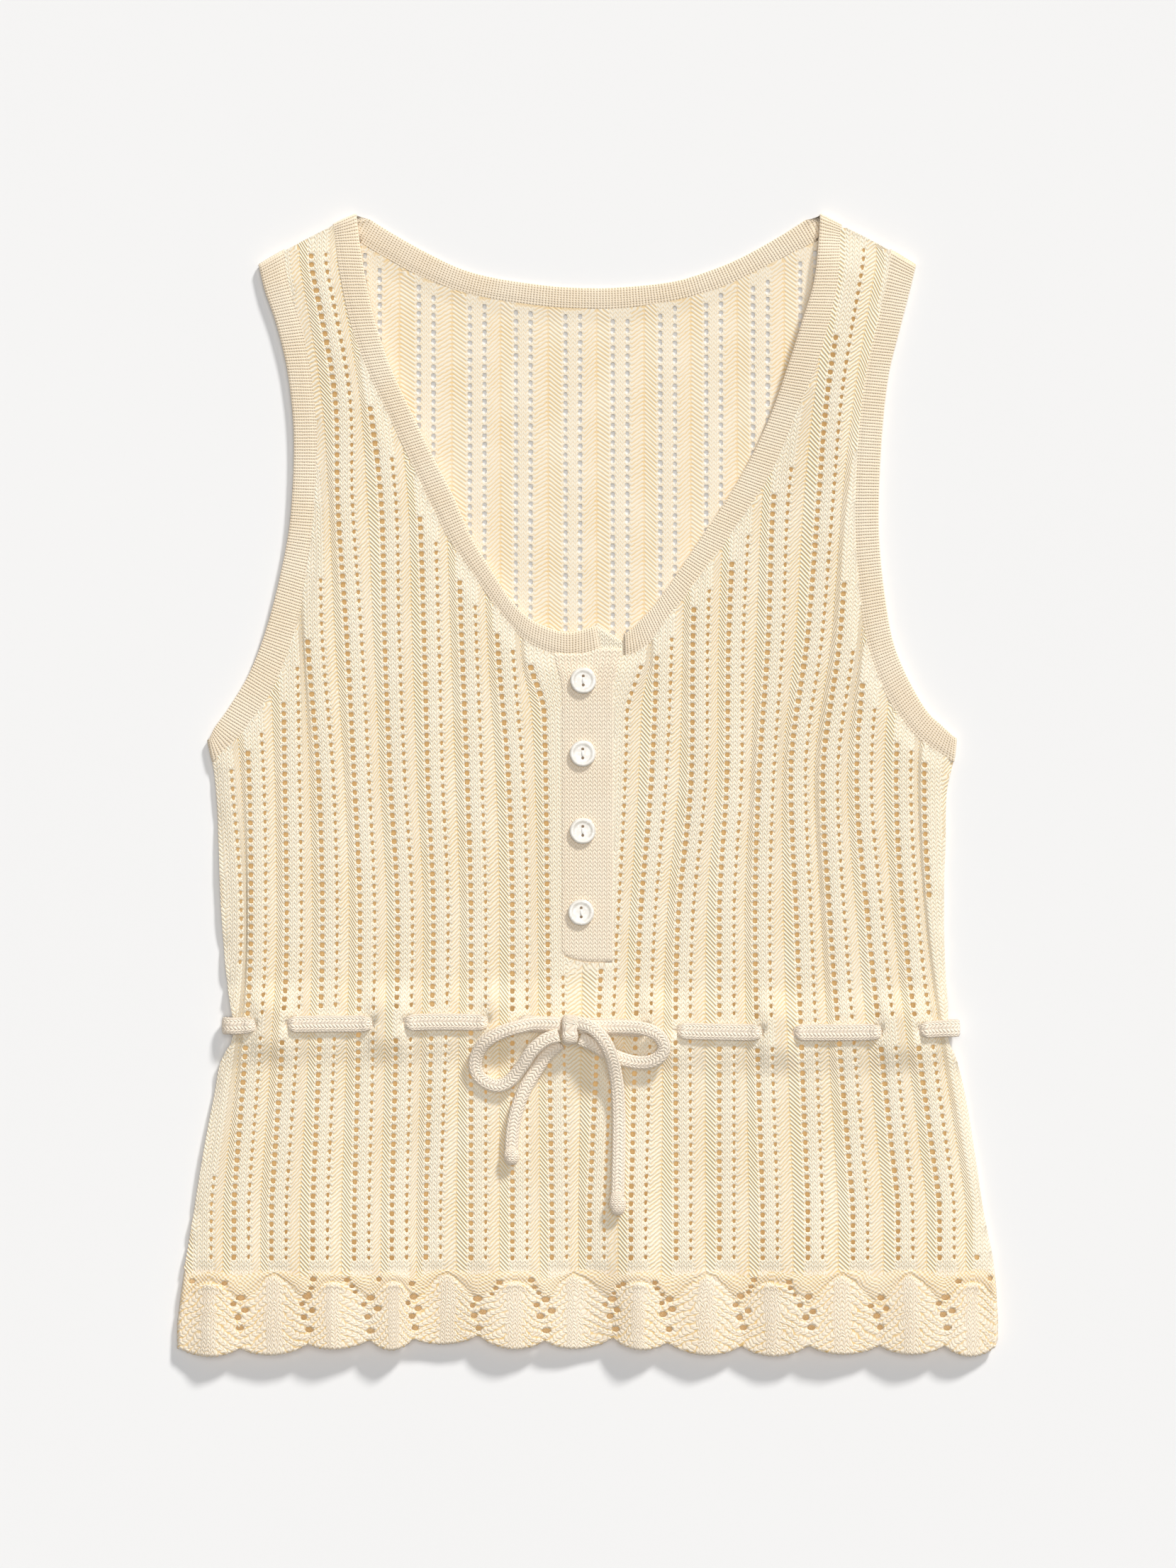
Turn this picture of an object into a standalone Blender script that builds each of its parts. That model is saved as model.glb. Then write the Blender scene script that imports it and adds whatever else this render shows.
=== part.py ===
"""A sleeveless pointelle-knit tank top with a waist drawstring and a scalloped lace hem, laid flat.

The neck points to +Y, the front faces +Z, and the back panel's outside rests on z = 0. Sizes are in
millimetres here and become metres when a mesh is made. x is measured from the middle of the hem.
"""

import math

import bmesh
import bpy
import numpy as np
from mathutils import Vector
from mathutils.geometry import delaunay_2d_cdt

MM = 0.001

BODY_COLOR = (0.87, 0.72, 0.53)
BAND_COLOR = (0.90, 0.76, 0.57)
CORD_COLOR = (0.90, 0.77, 0.60)
BUTTON_COLOR = (0.86, 0.85, 0.80)

# Cloth and cord thicknesses
WALL = 1.8                  # one layer of the knit
EDGE = 1.0                  # thickness left at a rounded edge
EDGE_ROUND = 1.8            # how far in from an edge the wall is full again
GAP = 0.35                  # between pieces that touch or are sewn together
RIB_RISE = 1.1              # a rib's crest above the valleys between ribs
RIB_HALF = 3.8              # half the width of a rib's flat crest
BAND_RISE = 0.5             # how far the fine-rib bands stand above the plain cloth
AIR = 1.0                   # slack between front and back away from the seams
CORD_THICK = 2.2            # the drawstring pressed flat at the waist
CORD_WIDE = 9.0
TIE_THICK = 3.6             # the drawstring where it lies loose in the bow
TIE_WIDE = 7.2
BAND_STEP = 16.0            # between the sections of a band, measured along both its edges together

# Side seams: the edges of both panels, down to the hem
SIDES = {
    "y": (12.4, -1.5, -31.7, -61.8, -92.0, -116.0, -124.0, -136.0, -146.0, -167.4, -197.5, -227.7, -257.9, -286.0),
    "left": (-199.8, -197.9, -196.4, -195.3, -193.2, -190.4, -188.8, -188.9, -194.6, -199.1, -204.7, -209.6,
             -214.5, -218.4),
    "right": (194.9, 191.5, 190.4, 189.6, 190.0, 191.4, 191.6, 191.7, 196.0, 201.3, 206.2, 210.7, 216.4, 218.4),
}

# Armbands from shoulder to underarm: the free edge, and the edge sewn to the panels
ARMBAND_LEFT = {
    "free_x": (-175.0, -171.9, -165.5, -159.5, -156.5, -158.3, -163.6, -171.2, -180.2, -191.5, -198.3, -201.4),
    "free_y": (275.4, 262.4, 243.5, 217.2, 183.2, 141.8, 111.6, 82.2, 58.8, 40.0, 30.5, 24.1),
    "seam_x": (-161.7, -159.4, -153.1, -147.4, -144.4, -146.3, -150.8, -157.2, -167.8, -179.8, -188.9, -199.2),
    "seam_y": (283.4, 266.2, 245.4, 217.2, 183.2, 141.0, 107.8, 77.7, 51.3, 33.2, 22.6, 12.9),
}
ARMBAND_RIGHT = {
    "free_x": (174.6, 171.5, 166.6, 160.2, 156.5, 154.9, 156.8, 161.7, 169.3, 179.8, 188.9, 195.4),
    "free_y": (275.4, 262.4, 243.5, 217.2, 183.2, 141.8, 111.6, 79.5, 58.8, 40.0, 30.9, 24.9),
    "seam_x": (161.7, 159.1, 154.2, 148.2, 144.0, 142.5, 144.0, 148.9, 157.2, 170.4, 182.1, 194.3),
    "seam_y": (283.4, 265.4, 245.1, 218.3, 184.0, 141.4, 109.7, 75.8, 51.3, 30.5, 20.0, 12.9),
}

# Neckband: front halves from shoulder to placket, then the back half from left to right
NECK_LEFT = {
    "free_x": (-123.0, -121.0, -117.6, -112.3, -104.4, -93.9, -82.9, -71.3, -62.2, -50.9, -41.1, -30.9,
               -20.0, -10.9, -3.4, 4.5),
    "free_y": (302.7, 286.9, 266.2, 243.5, 220.9, 198.3, 175.7, 153.1, 132.3, 113.5, 98.4, 88.2,
               82.9, 80.6, 81.8, 84.1),
    "seam_x": (-134.6, -133.2, -130.1, -124.8, -116.5, -105.2, -93.9, -83.3, -71.3, -57.3, -44.9, -33.2,
               -21.1, -10.9, -3.4, 7.2),
    "seam_y": (297.6, 286.9, 266.2, 242.8, 219.0, 195.3, 171.9, 148.5, 127.4, 107.1, 89.7, 76.9,
               70.5, 68.2, 68.2, 71.3),
}
NECK_RIGHT = {
    "free_x": (123.6, 122.5, 119.9, 113.1, 105.9, 98.0, 87.8, 75.0, 61.1, 48.6, 38.1, 29.0, 24.1, 18.9),
    "free_y": (302.7, 286.9, 266.2, 243.5, 220.9, 198.3, 175.7, 153.1, 132.3, 113.5, 98.4, 88.2, 82.9, 79.6),
    "seam_x": (134.2, 133.5, 132.3, 126.7, 119.5, 109.7, 100.3, 86.0, 71.6, 56.9, 43.0, 33.9, 26.0, 18.9),
    "seam_y": (297.6, 286.9, 266.2, 242.8, 219.0, 195.3, 171.9, 148.5, 127.4, 107.1, 89.7, 76.9, 70.5, 68.9),
}
NECK_BACK = {
    "free_x": (-116.0, -103.5, -84.6, -66.2, -47.6, -20.0, 0.0, 18.5, 44.6, 62.8, 80.9, 102.0, 116.0),
    "free_y": (300.9, 293.2, 282.6, 274.1, 269.3, 265.4, 264.3, 264.7, 267.5, 272.7, 280.0, 291.6, 300.5),
    "seam_x": (-122.4, -109.6, -89.6, -69.6, -49.6, -20.6, 0.0, 18.8, 46.6, 66.2, 85.7, 107.8, 122.2),
    "seam_y": (289.8, 282.2, 271.2, 263.6, 258.8, 254.9, 253.9, 254.1, 258.4, 263.7, 271.8, 283.2, 289.8),
}

# Placket: the notch in the front panel that its two bands fill
PLACKET_HALF = 13.2
UNDER_THICK = 1.2
OVER_THICK = 1.3
PLACKET_FOOT = {"x": (-13.2, -5.0, 4.0, 13.2), "y": (-91.6, -94.3, -95.2, -95.0)}
UNDERLAP = ((13.6, 69.8), (18.3, 69.6), (18.3, 77.6), (8.0, 77.6), (8.4, 71.4))     # the button band's end
BUTTONS = {"x": (-2.3, -2.6, -2.6, -3.4), "y": (55.0, 16.2, -24.9, -68.2)}
BUTTON_R = 7.0
BUTTON_THICK = 2.6
BUTTON_HOLE_R = 0.75
BUTTON_HOLE_APART = 4.75
BUTTON_RIM = 0.75           # the rim above the well
BUTTON_WELL_R = 3.7

# Ribs: the middle of each of the 20 ribs at six heights, one row for each rib
RIB_Y = (-223.9, -73.1, 2.3, 77.7, 153.1, 277.5)
RIB_X = (
    (-204, -188, -193, -199, -203, -207),
    (-184, -175, -176, -181, -184, -188),
    (-164, -156, -157, -159, -167, -173),
    (-142, -137, -139, -145, -147, -164),
    (-120, -117, -120, -125, -130, -146),
    (-100, -97, -101, -104, -106, -124),
    (-82, -78, -81, -83, -86, -101),
    (-58, -58, -60, -63, -66, -77),
    (-36, -36, -38, -44, -47, -52),
    (-15, -17, -17, -20, -22, -26),
    (5, 8, 8, 12, 14, 15),
    (27, 32, 38, 41, 42, 44),
    (51, 52, 59, 60, 63, 68),
    (74, 74, 78, 79, 83, 95),
    (97, 93, 95, 100, 103, 121),
    (121, 115, 112, 116, 128, 146),
    (145, 133, 129, 136, 144, 164),
    (169, 153, 147, 153, 164, 185),
    (191, 172, 168, 174, 185, 204),
    (211, 187, 183, 193, 204, 219),
)
PLACKET_RIBS = (9, 10)      # the two middle ribs start under the placket

# Lace hem: one row for each scallop, its lowest point and the notch to its right
LACE_TOP = -258.0
BACK_HEM_SHORT = 2.0        # the back's hem lies this far inside the front's
LACE_RISE = 0.9
SCALLOPS = (
    (-201.7, -304.4, -184.7, -300.2),
    (-166.6, -303.5, -148.5, -297.8),
    (-136.1, -300.2, -115.7, -295.6),
    (-102.5, -300.8, -92.7, -295.2),
    (-74.6, -298.0, -58.1, -293.3),
    (-38.5, -300.3, -23.0, -296.2),
    (-7.5, -300.5, 13.2, -294.8),
    (26.8, -300.6, 42.2, -297.2),
    (63.3, -303.5, 81.8, -299.2),
    (97.6, -304.2, 117.2, -298.6),
    (135.0, -303.2, 154.9, -298.8),
    (171.2, -303.2, 189.6, -298.8),
    (204.8, -304.4, 217.0, -299.5),
)
LACE_HOLE_ROWS = (-273.0, -281.6)
LACE_HOLE = (2.2, 1.6)      # half width and half height of the largest holes between scallops

# Soft forms of the layers: middle, half widths and height of the lifts between the seams
STRAP_LIFTS = ((124.0, 235.0, 24.0, 62.0, 2.4), (-124.0, 240.0, 22.0, 60.0, 0.9), (2.0, 70.0, 60.0, 34.0, 0.5))
HEM_FLUTES = (              # x, height at the hem, half width, reach up from the hem
    (-196.0, 2.6, 24.0, 80.0),
    (-141.0, 4.6, 27.0, 120.0),
    (-103.0, 3.2, 13.0, 110.0),
    (-48.0, 4.4, 19.0, 95.0),
    (-20.0, 2.4, 13.0, 70.0),
    (26.0, 5.0, 14.0, 150.0),
    (62.0, 3.6, 19.0, 95.0),
    (116.0, 4.8, 25.0, 125.0),
    (176.0, 4.2, 27.0, 105.0),
)
CORNER_LIFT = 1.8           # both layers rise off the table at the hem's corners

# Drawstring: where it shows in front, from one eyelet to the next, and where it shows behind
WAIST_Y = {
    "x": (-198.0, -158.0, -115.0, -75.0, -25.0, 12.0, 48.0, 92.0, 155.0, 198.0),
    "front": (-128.9, -127.6, -127.2, -126.3, -127.6, -129.0, -131.0, -131.9, -131.6, -129.4),
}
FRONT_SHOWS = ((-215.0, -177.6), (-158.7, -115.4), (-96.5, -53.9), (-36.2, 30.5), (48.3, 91.6), (110.5, 155.0),
               (177.0, 215.0))
BACK_SHOWS = ((-215.0, -171.0), (-152.0, -109.0), (-90.0, -47.0), (-28.0, 15.0), (34.0, 77.0), (96.0, 139.0),
              (158.0, 215.0))
RAMP = 7.0                  # the cloth goes from over the cord to under it in this distance
SLOT = (3.9, 3.7)           # half length and half height of a pulled-open eyelet
CORD_PINCH = 4.6            # the cord's width where it goes through an eyelet
SIDE_WRAPS = {"left": (-187.0, 6.4), "right": (189.6, 7.4)}     # where the cord turns, and how far out it goes

# The bow: routes of its loops and free ends, with the height above what they lie on
KNOT = (-9.4, -130.2)
LOOP_LEFT = {
    "x": (-14.4, -22.0, -30.2, -43.7, -54.7, -59.6, -57.7, -49.4, -41.8, -34.7, -29.4, -22.5, -15.2),
    "y": (-127.4, -127.2, -127.4, -130.8, -137.2, -147.0, -155.3, -160.2, -158.0, -149.5, -141.5, -135.6, -133.2),
    "lift": (2.9, 2.9, 2.9, 1.8, 0.5, 0.2, 0.2, 0.3, 0.8, 2.4, 4.0, 4.4, 4.4),
}
TAIL_LEFT = {
    "x": (-16.5, -21.6, -27.0, -32.4, -36.6, -39.2, -40.3, -40.4),
    "y": (-138.6, -143.6, -151.4, -160.2, -170.0, -180.0, -189.0, -192.0),
    "lift": (0.0, 0.0, 0.0, 0.0, 0.0, 0.0, 0.0, 0.0),
}
LOOP_RIGHT = {
    "x": (-4.3, 5.0, 12.0, 20.0, 29.0, 36.5, 40.8, 40.6, 35.2, 26.6, 17.4, 9.0, 2.0, -4.3),
    "y": (-128.6, -128.7, -128.8, -128.9, -129.8, -132.8, -138.2, -143.4, -146.9, -147.8, -145.6, -141.6, -137.6, -135.0),
    "lift": (3.2, 3.2, 3.2, 3.2, 3.0, 1.8, 0.6, 0.2, 0.2, 0.2, 0.6, 1.8, 3.2, 3.4),
}
TAIL_RIGHT = {
    "x": (-2.6, 3.0, 8.2, 12.2, 14.6, 16.0, 16.6, 16.5, 16.2, 16.0),
    "y": (-121.4, -126.6, -134.0, -143.0, -153.0, -163.0, -176.4, -194.5, -208.0, -216.0),
    "lift": (7.2, 7.6, 7.4, 6.0, 3.8, 1.6, 0.3, 0.0, 0.0, 0.0),
}
END_KNOTS = (("left", -40.4, -197.4, 4.2, 5.1), ("right", 15.9, -222.6, 4.5, 6.4))


# Curves and smooth steps

def step(value):
    """0 below 0, 1 above 1, smooth between."""
    t = np.clip(value, 0.0, 1.0)
    return t * t * (3.0 - 2.0 * t)


def smooth_line(xs, ys):
    """A smooth function through the rows of a table, with no overshoot between rows."""
    order = np.argsort(xs)
    x = np.array(xs, float)[order]
    y = np.array(ys, float)[order]
    run = np.diff(x)
    slope = np.diff(y) / run
    tangent = np.concatenate([slope[:1], (slope[1:] + slope[:-1]) / 2, slope[-1:]])
    flat = np.concatenate([[False], slope[1:] * slope[:-1] <= 0, [False]])
    tangent[flat] = 0.0

    def value(at):
        at = np.clip(at, x[0], x[-1])
        i = np.clip(np.searchsorted(x, at) - 1, 0, len(run) - 1)
        t = (at - x[i]) / run[i]
        a = (1 + 2 * t) * (1 - t) ** 2 * y[i] + t * (1 - t) ** 2 * run[i] * tangent[i]
        return a + t * t * (3 - 2 * t) * y[i + 1] - t * t * (1 - t) * run[i] * tangent[i + 1]

    return value


def curve(points, spacing):
    """Evenly spaced points on a smooth curve through the given ones, ends kept."""
    p = np.array(points, float)
    p = np.vstack([2 * p[0] - p[1], p, 2 * p[-1] - p[-2]])
    fine = []
    for a, b, c, d in zip(p[:-3], p[1:-2], p[2:-1], p[3:]):
        for t in np.arange(0.0, 1.0, 0.05):
            pull = (-a + 3 * b - 3 * c + d) * t ** 3 + (2 * a - 5 * b + 4 * c - d) * t ** 2 + (c - a) * t
            fine.append(b + 0.5 * pull)
    fine = np.array(fine + [p[-2]])
    along = np.concatenate([[0.0], np.cumsum(np.linalg.norm(np.diff(fine, axis=0), axis=1))])
    stops = np.linspace(0.0, along[-1], max(2, int(round(along[-1] / spacing)) + 1))
    return np.column_stack([np.interp(stops, along, fine[:, i]) for i in range(fine.shape[1])])


def table_points(table, *columns):
    return list(zip(*(table[name] for name in columns)))


def distance_to(path, points):
    """Distance from each point to an open polyline, all in the plane."""
    path = np.asarray(path, float)
    points = np.asarray(points, float)
    best = np.full(len(points), 1e9)
    for a, b in zip(path[:-1], path[1:]):
        ab = b - a
        t = np.clip(((points - a) @ ab) / max(ab @ ab, 1e-9), 0.0, 1.0)
        best = np.minimum(best, np.linalg.norm(points - a - t[:, None] * ab, axis=1))
    return best


def inside(loop, points):
    """Which points lie inside a closed loop, by the even-odd rule."""
    loop = np.asarray(loop, float)
    points = np.asarray(points, float)
    hit = np.zeros(len(points), bool)
    for a, b in zip(loop, np.roll(loop, -1, axis=0)):
        crosses = (a[1] > points[:, 1]) != (b[1] > points[:, 1])
        rise = b[1] - a[1] if abs(b[1] - a[1]) > 1e-9 else 1e-9
        hit ^= crosses & (points[:, 0] < (b[0] - a[0]) * (points[:, 1] - a[1]) / rise + a[0])
    return hit


left_side = smooth_line(SIDES["y"], SIDES["left"])
right_side = smooth_line(SIDES["y"], SIDES["right"])
waist_y = smooth_line(WAIST_Y["x"], WAIST_Y["front"])
rib_lines = [smooth_line(RIB_Y, row) for row in RIB_X]

# The silhouette's sides, from one shoulder down past the hem, up to the other: the layers meet along it
SIDE_LEFT = curve(table_points(ARMBAND_LEFT, "free_x", "free_y"), 8.0)
SIDE_RIGHT = curve(table_points(ARMBAND_RIGHT, "free_x", "free_y"), 8.0)
SHOULDERS = ([(-176.0, 275.0), (-123.0, 304.0)], [(123.6, 304.0), (176.0, 275.0)])
DOWN = np.linspace(12.4, -340.0, 30)
SEALED_LEFT = np.vstack([SIDE_LEFT, np.column_stack([left_side(DOWN), DOWN])])
SEALED_RIGHT = np.vstack([SIDE_RIGHT, np.column_stack([right_side(DOWN), DOWN])])


def from_fold(points):
    """Distance from the side seams, armholes and shoulders, where front and back join."""
    paths = (SEALED_LEFT, SEALED_RIGHT, SHOULDERS[0], SHOULDERS[1])
    return np.min([distance_to(path, points) for path in paths], axis=0)


# Heights of the layers

def shows(stretches, x):
    """1 where the drawstring lies outside the cloth, 0 where it is inside."""
    total = 0.0
    for start, end in stretches:
        total = total + step((x - start) / RAMP + 0.5) * (1.0 - step((x - end) / RAMP + 0.5))
    return np.clip(total, 0.0, 1.0)


def at_waist(x, y):
    """1 along the drawstring, falling to 0 above and below it."""
    away = np.abs(y - waist_y(x))
    return 1.0 - step((away - 6.5) / 18.0)


def back_low(x, y):
    corner = step((np.abs(x) - 165.0) / 60.0) * step((-235.0 - y) / 70.0)
    under = (CORD_THICK + GAP) * at_waist(x, y) * shows(BACK_SHOWS, x)
    return under + CORNER_LIFT * corner


def front_low(x, y):
    """The inside of the front layer: on the back panel at the seams, lifted between them."""
    x = np.asarray(x, float)
    y = np.asarray(y, float)
    lift = np.full(x.shape, AIR)
    for mid_x, mid_y, half_x, half_y, height in STRAP_LIFTS:
        lift = lift + height * np.exp(-((x - mid_x) / half_x) ** 2 - ((y - mid_y) / half_y) ** 2)
    for mid, height, half, reach in HEM_FLUTES:
        lift = lift + height * np.exp(-((x - mid) / half) ** 2) * step((-300.0 + reach - y) / reach)
    points = np.column_stack([x.ravel(), y.ravel()])
    free = step((from_fold(points) - 2.0) / 20.0).reshape(x.shape)
    cord = (CORD_THICK + GAP) * at_waist(x, y)
    inner_cords = (1.0 - shows(BACK_SHOWS, x)) + (1.0 - shows(FRONT_SHOWS, x))
    return back_low(x, y) + WALL + GAP + lift * free + cord * inner_cords


def rib_relief(x, y):
    """The ribs' trapezoid crests over the valleys, before any fading, and the trunks of the lace hem."""
    height = np.zeros(x.shape)
    lines = np.array([line(y) for line in rib_lines])
    for k in range(len(rib_lines)):
        left = lines[k - 1] if k else lines[k] - (lines[1] - lines[0])
        right = lines[k + 1] if k < len(rib_lines) - 1 else lines[k] + (lines[k] - lines[k - 1])
        half = np.where(x < lines[k], (lines[k] - left) / 2, (right - lines[k]) / 2)
        crest = np.clip((half - np.abs(x - lines[k])) / np.maximum(half - RIB_HALF, 0.5), 0.0, 1.0)
        if k in PLACKET_RIBS:
            crest = crest * step((PLACKET_FOOT["y"][2] - 4.0 - y) / 14.0)
        height = np.maximum(height, crest * RIB_RISE)
    height = height * (1.0 - step((LACE_TOP + 4.0 - y) / 8.0))
    for mid, _, _, _ in SCALLOPS:
        trunk = np.clip(1.6 - np.abs(x - mid) / 6.0, 0.0, 1.0) * step((LACE_TOP - 2.0 - y) / 6.0)
        height = np.maximum(height, trunk * LACE_RISE)
    return height * (1.0 - 0.75 * at_waist(x, y))


# Building solids

def material(name, color, roughness):
    mat = bpy.data.materials.new(name)
    mat.use_nodes = True
    shader = mat.node_tree.nodes["Principled BSDF"]
    shader.inputs["Base Color"].default_value = (*color, 1.0)
    shader.inputs["Roughness"].default_value = roughness
    shader.inputs["Metallic"].default_value = 0.0
    return mat


def add_object(name, bm, color, roughness):
    bmesh.ops.recalc_face_normals(bm, faces=bm.faces)
    mesh = bpy.data.meshes.new(name)
    bm.to_mesh(mesh)
    bm.free()
    mesh.shade_smooth()
    mesh.set_sharp_from_angle(angle=math.radians(40))
    mesh.materials.append(material(name, color, roughness))
    obj = bpy.data.objects.new(name, mesh)
    bpy.context.scene.collection.objects.link(obj)
    return obj


def inset_loop(loop, depth):
    """The closed loop moved in by depth, each point along its own normal. The loop runs anticlockwise."""
    p = np.asarray(loop, float)
    ahead = np.roll(p, -1, axis=0) - p
    ahead /= np.linalg.norm(ahead, axis=1)[:, None]
    behind = np.roll(ahead, 1, axis=0)
    turn = ahead + behind
    turn /= np.maximum(np.linalg.norm(turn, axis=1)[:, None], 1e-6)
    return p + depth * np.column_stack([-turn[:, 1], turn[:, 0]])


def triangulate(loops, lines):
    """Triangles between the loops (the first is the outline, the rest are holes), through the lines' points."""
    verts = []
    edges = []
    for loop in loops:
        start = len(verts)
        verts.extend(Vector(p) for p in loop)
        edges.extend((start + i, start + (i + 1) % len(loop)) for i in range(len(loop)))
    for line in lines:
        start = len(verts)
        verts.extend(Vector(p) for p in line["points"])
        edges.extend((start + i, start + i + 1) for i in range(len(line["points"]) - 1) if line["joined"][i])
    out, _, faces, _, _, _ = delaunay_2d_cdt(verts, edges, [], 1, 1e-4, True)
    out = np.array([tuple(v) for v in out])
    middles = np.array([out[list(f)].mean(axis=0) for f in faces])
    keep = np.ones(len(faces), bool)
    for hole in loops[1:]:
        keep &= ~inside(hole, middles)
    keep &= inside(loops[0], middles)
    return out, [f for f, k in zip(faces, keep) if k]


def trimmed(lines, loops, margin, hole_margin=1.3):
    """Lines of points cut back to those inside the outline, outside the holes and clear of both."""
    result = []
    closed = [np.vstack([loop, loop[:1]]) for loop in loops]
    for points in lines:
        p = np.asarray(points, float)
        between = [p[:-1] + (p[1:] - p[:-1]) * t for t in np.linspace(0.0, 1.0, 11)[1:-1]]
        both = np.vstack([p, *between])
        good = inside(loops[0], both)
        for hole in loops[1:]:
            good &= ~inside(hole, both)
        for number, path in enumerate(closed):
            good &= distance_to(path, both) > (hole_margin if number else margin)
        ok = good[:len(p)]
        joined = good[len(p):].reshape(len(between), -1).all(axis=0) & ok[:-1] & ok[1:]
        kept = np.flatnonzero(ok)
        if len(kept):
            line = {"points": p[kept]}
            line["joined"] = [kept[i + 1] == kept[i] + 1 and joined[kept[i]] for i in range(len(kept) - 1)]
            result.append(line)
    return result


def cloth(name, loops, top_lines, low_lines, low, top, color, roughness=0.85, edge=EDGE, edge_round=EDGE_ROUND):
    """A closed wall of cloth: low(x, y) is its inside, top(x, y) its outside, thinned along every edge."""
    loops = [np.asarray(loop, float) for loop in loops]
    inset = inset_loop(loops[0], edge_round)
    upper, upper_faces = triangulate(loops, trimmed(top_lines, loops, edge_round + 1.2) + [
        {"points": np.vstack([inset, inset[:1]])[:-1], "joined": [True] * (len(inset) - 1)}])
    lower, lower_faces = triangulate(loops, trimmed(low_lines, loops, 2.4))
    depth = distance_to(np.vstack([loops[0], loops[0][:1]]), upper)
    base = low(upper[:, 0], upper[:, 1])
    full = top(upper[:, 0], upper[:, 1])
    share = np.sqrt(np.clip(depth / edge_round, 0.0, 1.0))
    height = np.where(depth < edge_round, base + edge + (full - base - edge) * share, full)
    floor = low(lower[:, 0], lower[:, 1])
    bm = bmesh.new()
    top_verts = [bm.verts.new((x * MM, y * MM, z * MM)) for (x, y), z in zip(upper, height)]
    low_verts = [bm.verts.new((x * MM, y * MM, z * MM)) for (x, y), z in zip(lower, floor)]
    for face in upper_faces:
        bm.faces.new([top_verts[i] for i in face])
    for face in lower_faces:
        bm.faces.new([low_verts[i] for i in reversed(face)])
    start = 0
    for loop in loops:
        n = len(loop)
        for i in range(n):
            j = (i + 1) % n
            bm.faces.new([top_verts[start + i], low_verts[start + i], low_verts[start + j], top_verts[start + j]])
        start += n
    loose = [v for v in bm.verts if not v.link_faces]
    bmesh.ops.delete(bm, geom=loose, context="VERTS")
    return add_object(name, bm, color, roughness)


def sweep(name, rings, color, roughness=0.85, closed=False):
    """A solid through rings of points, each ring the same count, with flat ends unless it is closed."""
    bm = bmesh.new()
    made = [[bm.verts.new(Vector(p) * MM) for p in ring] for ring in rings]
    pairs = list(zip(made[:-1], made[1:]))
    if closed:
        pairs.append((made[-1], made[0]))
    for a, b in pairs:
        for i in range(len(a)):
            j = (i + 1) % len(a)
            bm.faces.new([a[i], a[j], b[j], b[i]])
    if not closed:
        bm.faces.new(list(reversed(made[0])))
        bm.faces.new(made[-1])
    return add_object(name, bm, color, roughness)


def strip_ring(free, seam, up, thick):
    """One section of a fine-rib band: rounded at its free edge, square at the seam."""
    free = np.asarray(free, float)
    seam = np.asarray(seam, float)
    up = np.asarray(up, float)
    across = (seam - free) / np.linalg.norm(seam - free)
    half = thick / 2
    return [
        free + up * half * 0.35,
        free + across * 1.2 + up * half,
        seam - across * 1.0 + up * half,
        seam + up * half * 0.55,
        seam - up * half * 0.55,
        seam - across * 1.0 - up * half,
        free + across * 1.2 - up * half,
        free - up * half * 0.35,
    ]


# Outlines

def hem_line():
    """The scalloped hem from right to left."""
    points = [(218.4, -290.0), (218.0, -296.0)]
    rows = list(reversed(SCALLOPS))
    notches = [(row[2], row[3]) for row in rows] + [(-217.0, -300.5)]
    for (mid, bottom, _, _), right, left in zip(rows, notches[:-1], notches[1:]):
        for t in (0.0, 0.17, 0.36, 0.5, 0.64, 0.83):
            x = right[0] + (left[0] - right[0]) * t
            chord = right[1] + (left[1] - right[1]) * t
            points.append((x, chord + (bottom - (right[1] + left[1]) / 2) * math.sin(math.pi * t) ** 0.7))
    points += [(-217.0, -300.5), (-218.3, -295.0), (-218.4, -290.0)]
    return points


def paired_curve(table, spacing=BAND_STEP):
    """Free and sewn edges of a band, sampled at matching places."""
    both = curve(table_points(table, "free_x", "free_y", "seam_x", "seam_y"), spacing)
    return both[:, :2], both[:, 2:]


def seam_path(table, side, offset):
    """The panel's edge along a band: the band's sewn edge, moved away from the band."""
    points = paired_curve(table)[1]
    ahead = np.gradient(points, axis=0)
    ahead /= np.linalg.norm(ahead, axis=1)[:, None]
    normal = np.column_stack([ahead[:, 1], -ahead[:, 0]]) * side
    return points + normal * offset


def panel_sides(hem_lift=0.0):
    """Both panels' outline below the shoulders, from the right armhole down, along the hem and up to the left."""
    down = np.concatenate([np.linspace(SIDES["y"][1], -112.0, 8), np.linspace(-120.0, -152.0, 6),
                           np.linspace(-168.0, -284.0, 8)])
    right = [(right_side(y), y) for y in down]
    left = [(left_side(y), y) for y in down[::-1]]
    arm_right = seam_path(ARMBAND_RIGHT, 1, GAP)
    arm_left = seam_path(ARMBAND_LEFT, -1, GAP)[::-1]
    hem = [(x, y + hem_lift) for x, y in hem_line()]
    return list(map(tuple, arm_right)) + right + hem + left + list(map(tuple, arm_left))


def dedupe(points, least=0.6):
    """The points in order, without any that nearly repeats the one before."""
    kept = [points[0]]
    for p in points[1:]:
        if math.dist(p, kept[-1]) > least:
            kept.append(p)
    if math.dist(kept[0], kept[-1]) <= least:
        kept.pop()
    return np.array(kept)[::-1]


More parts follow.
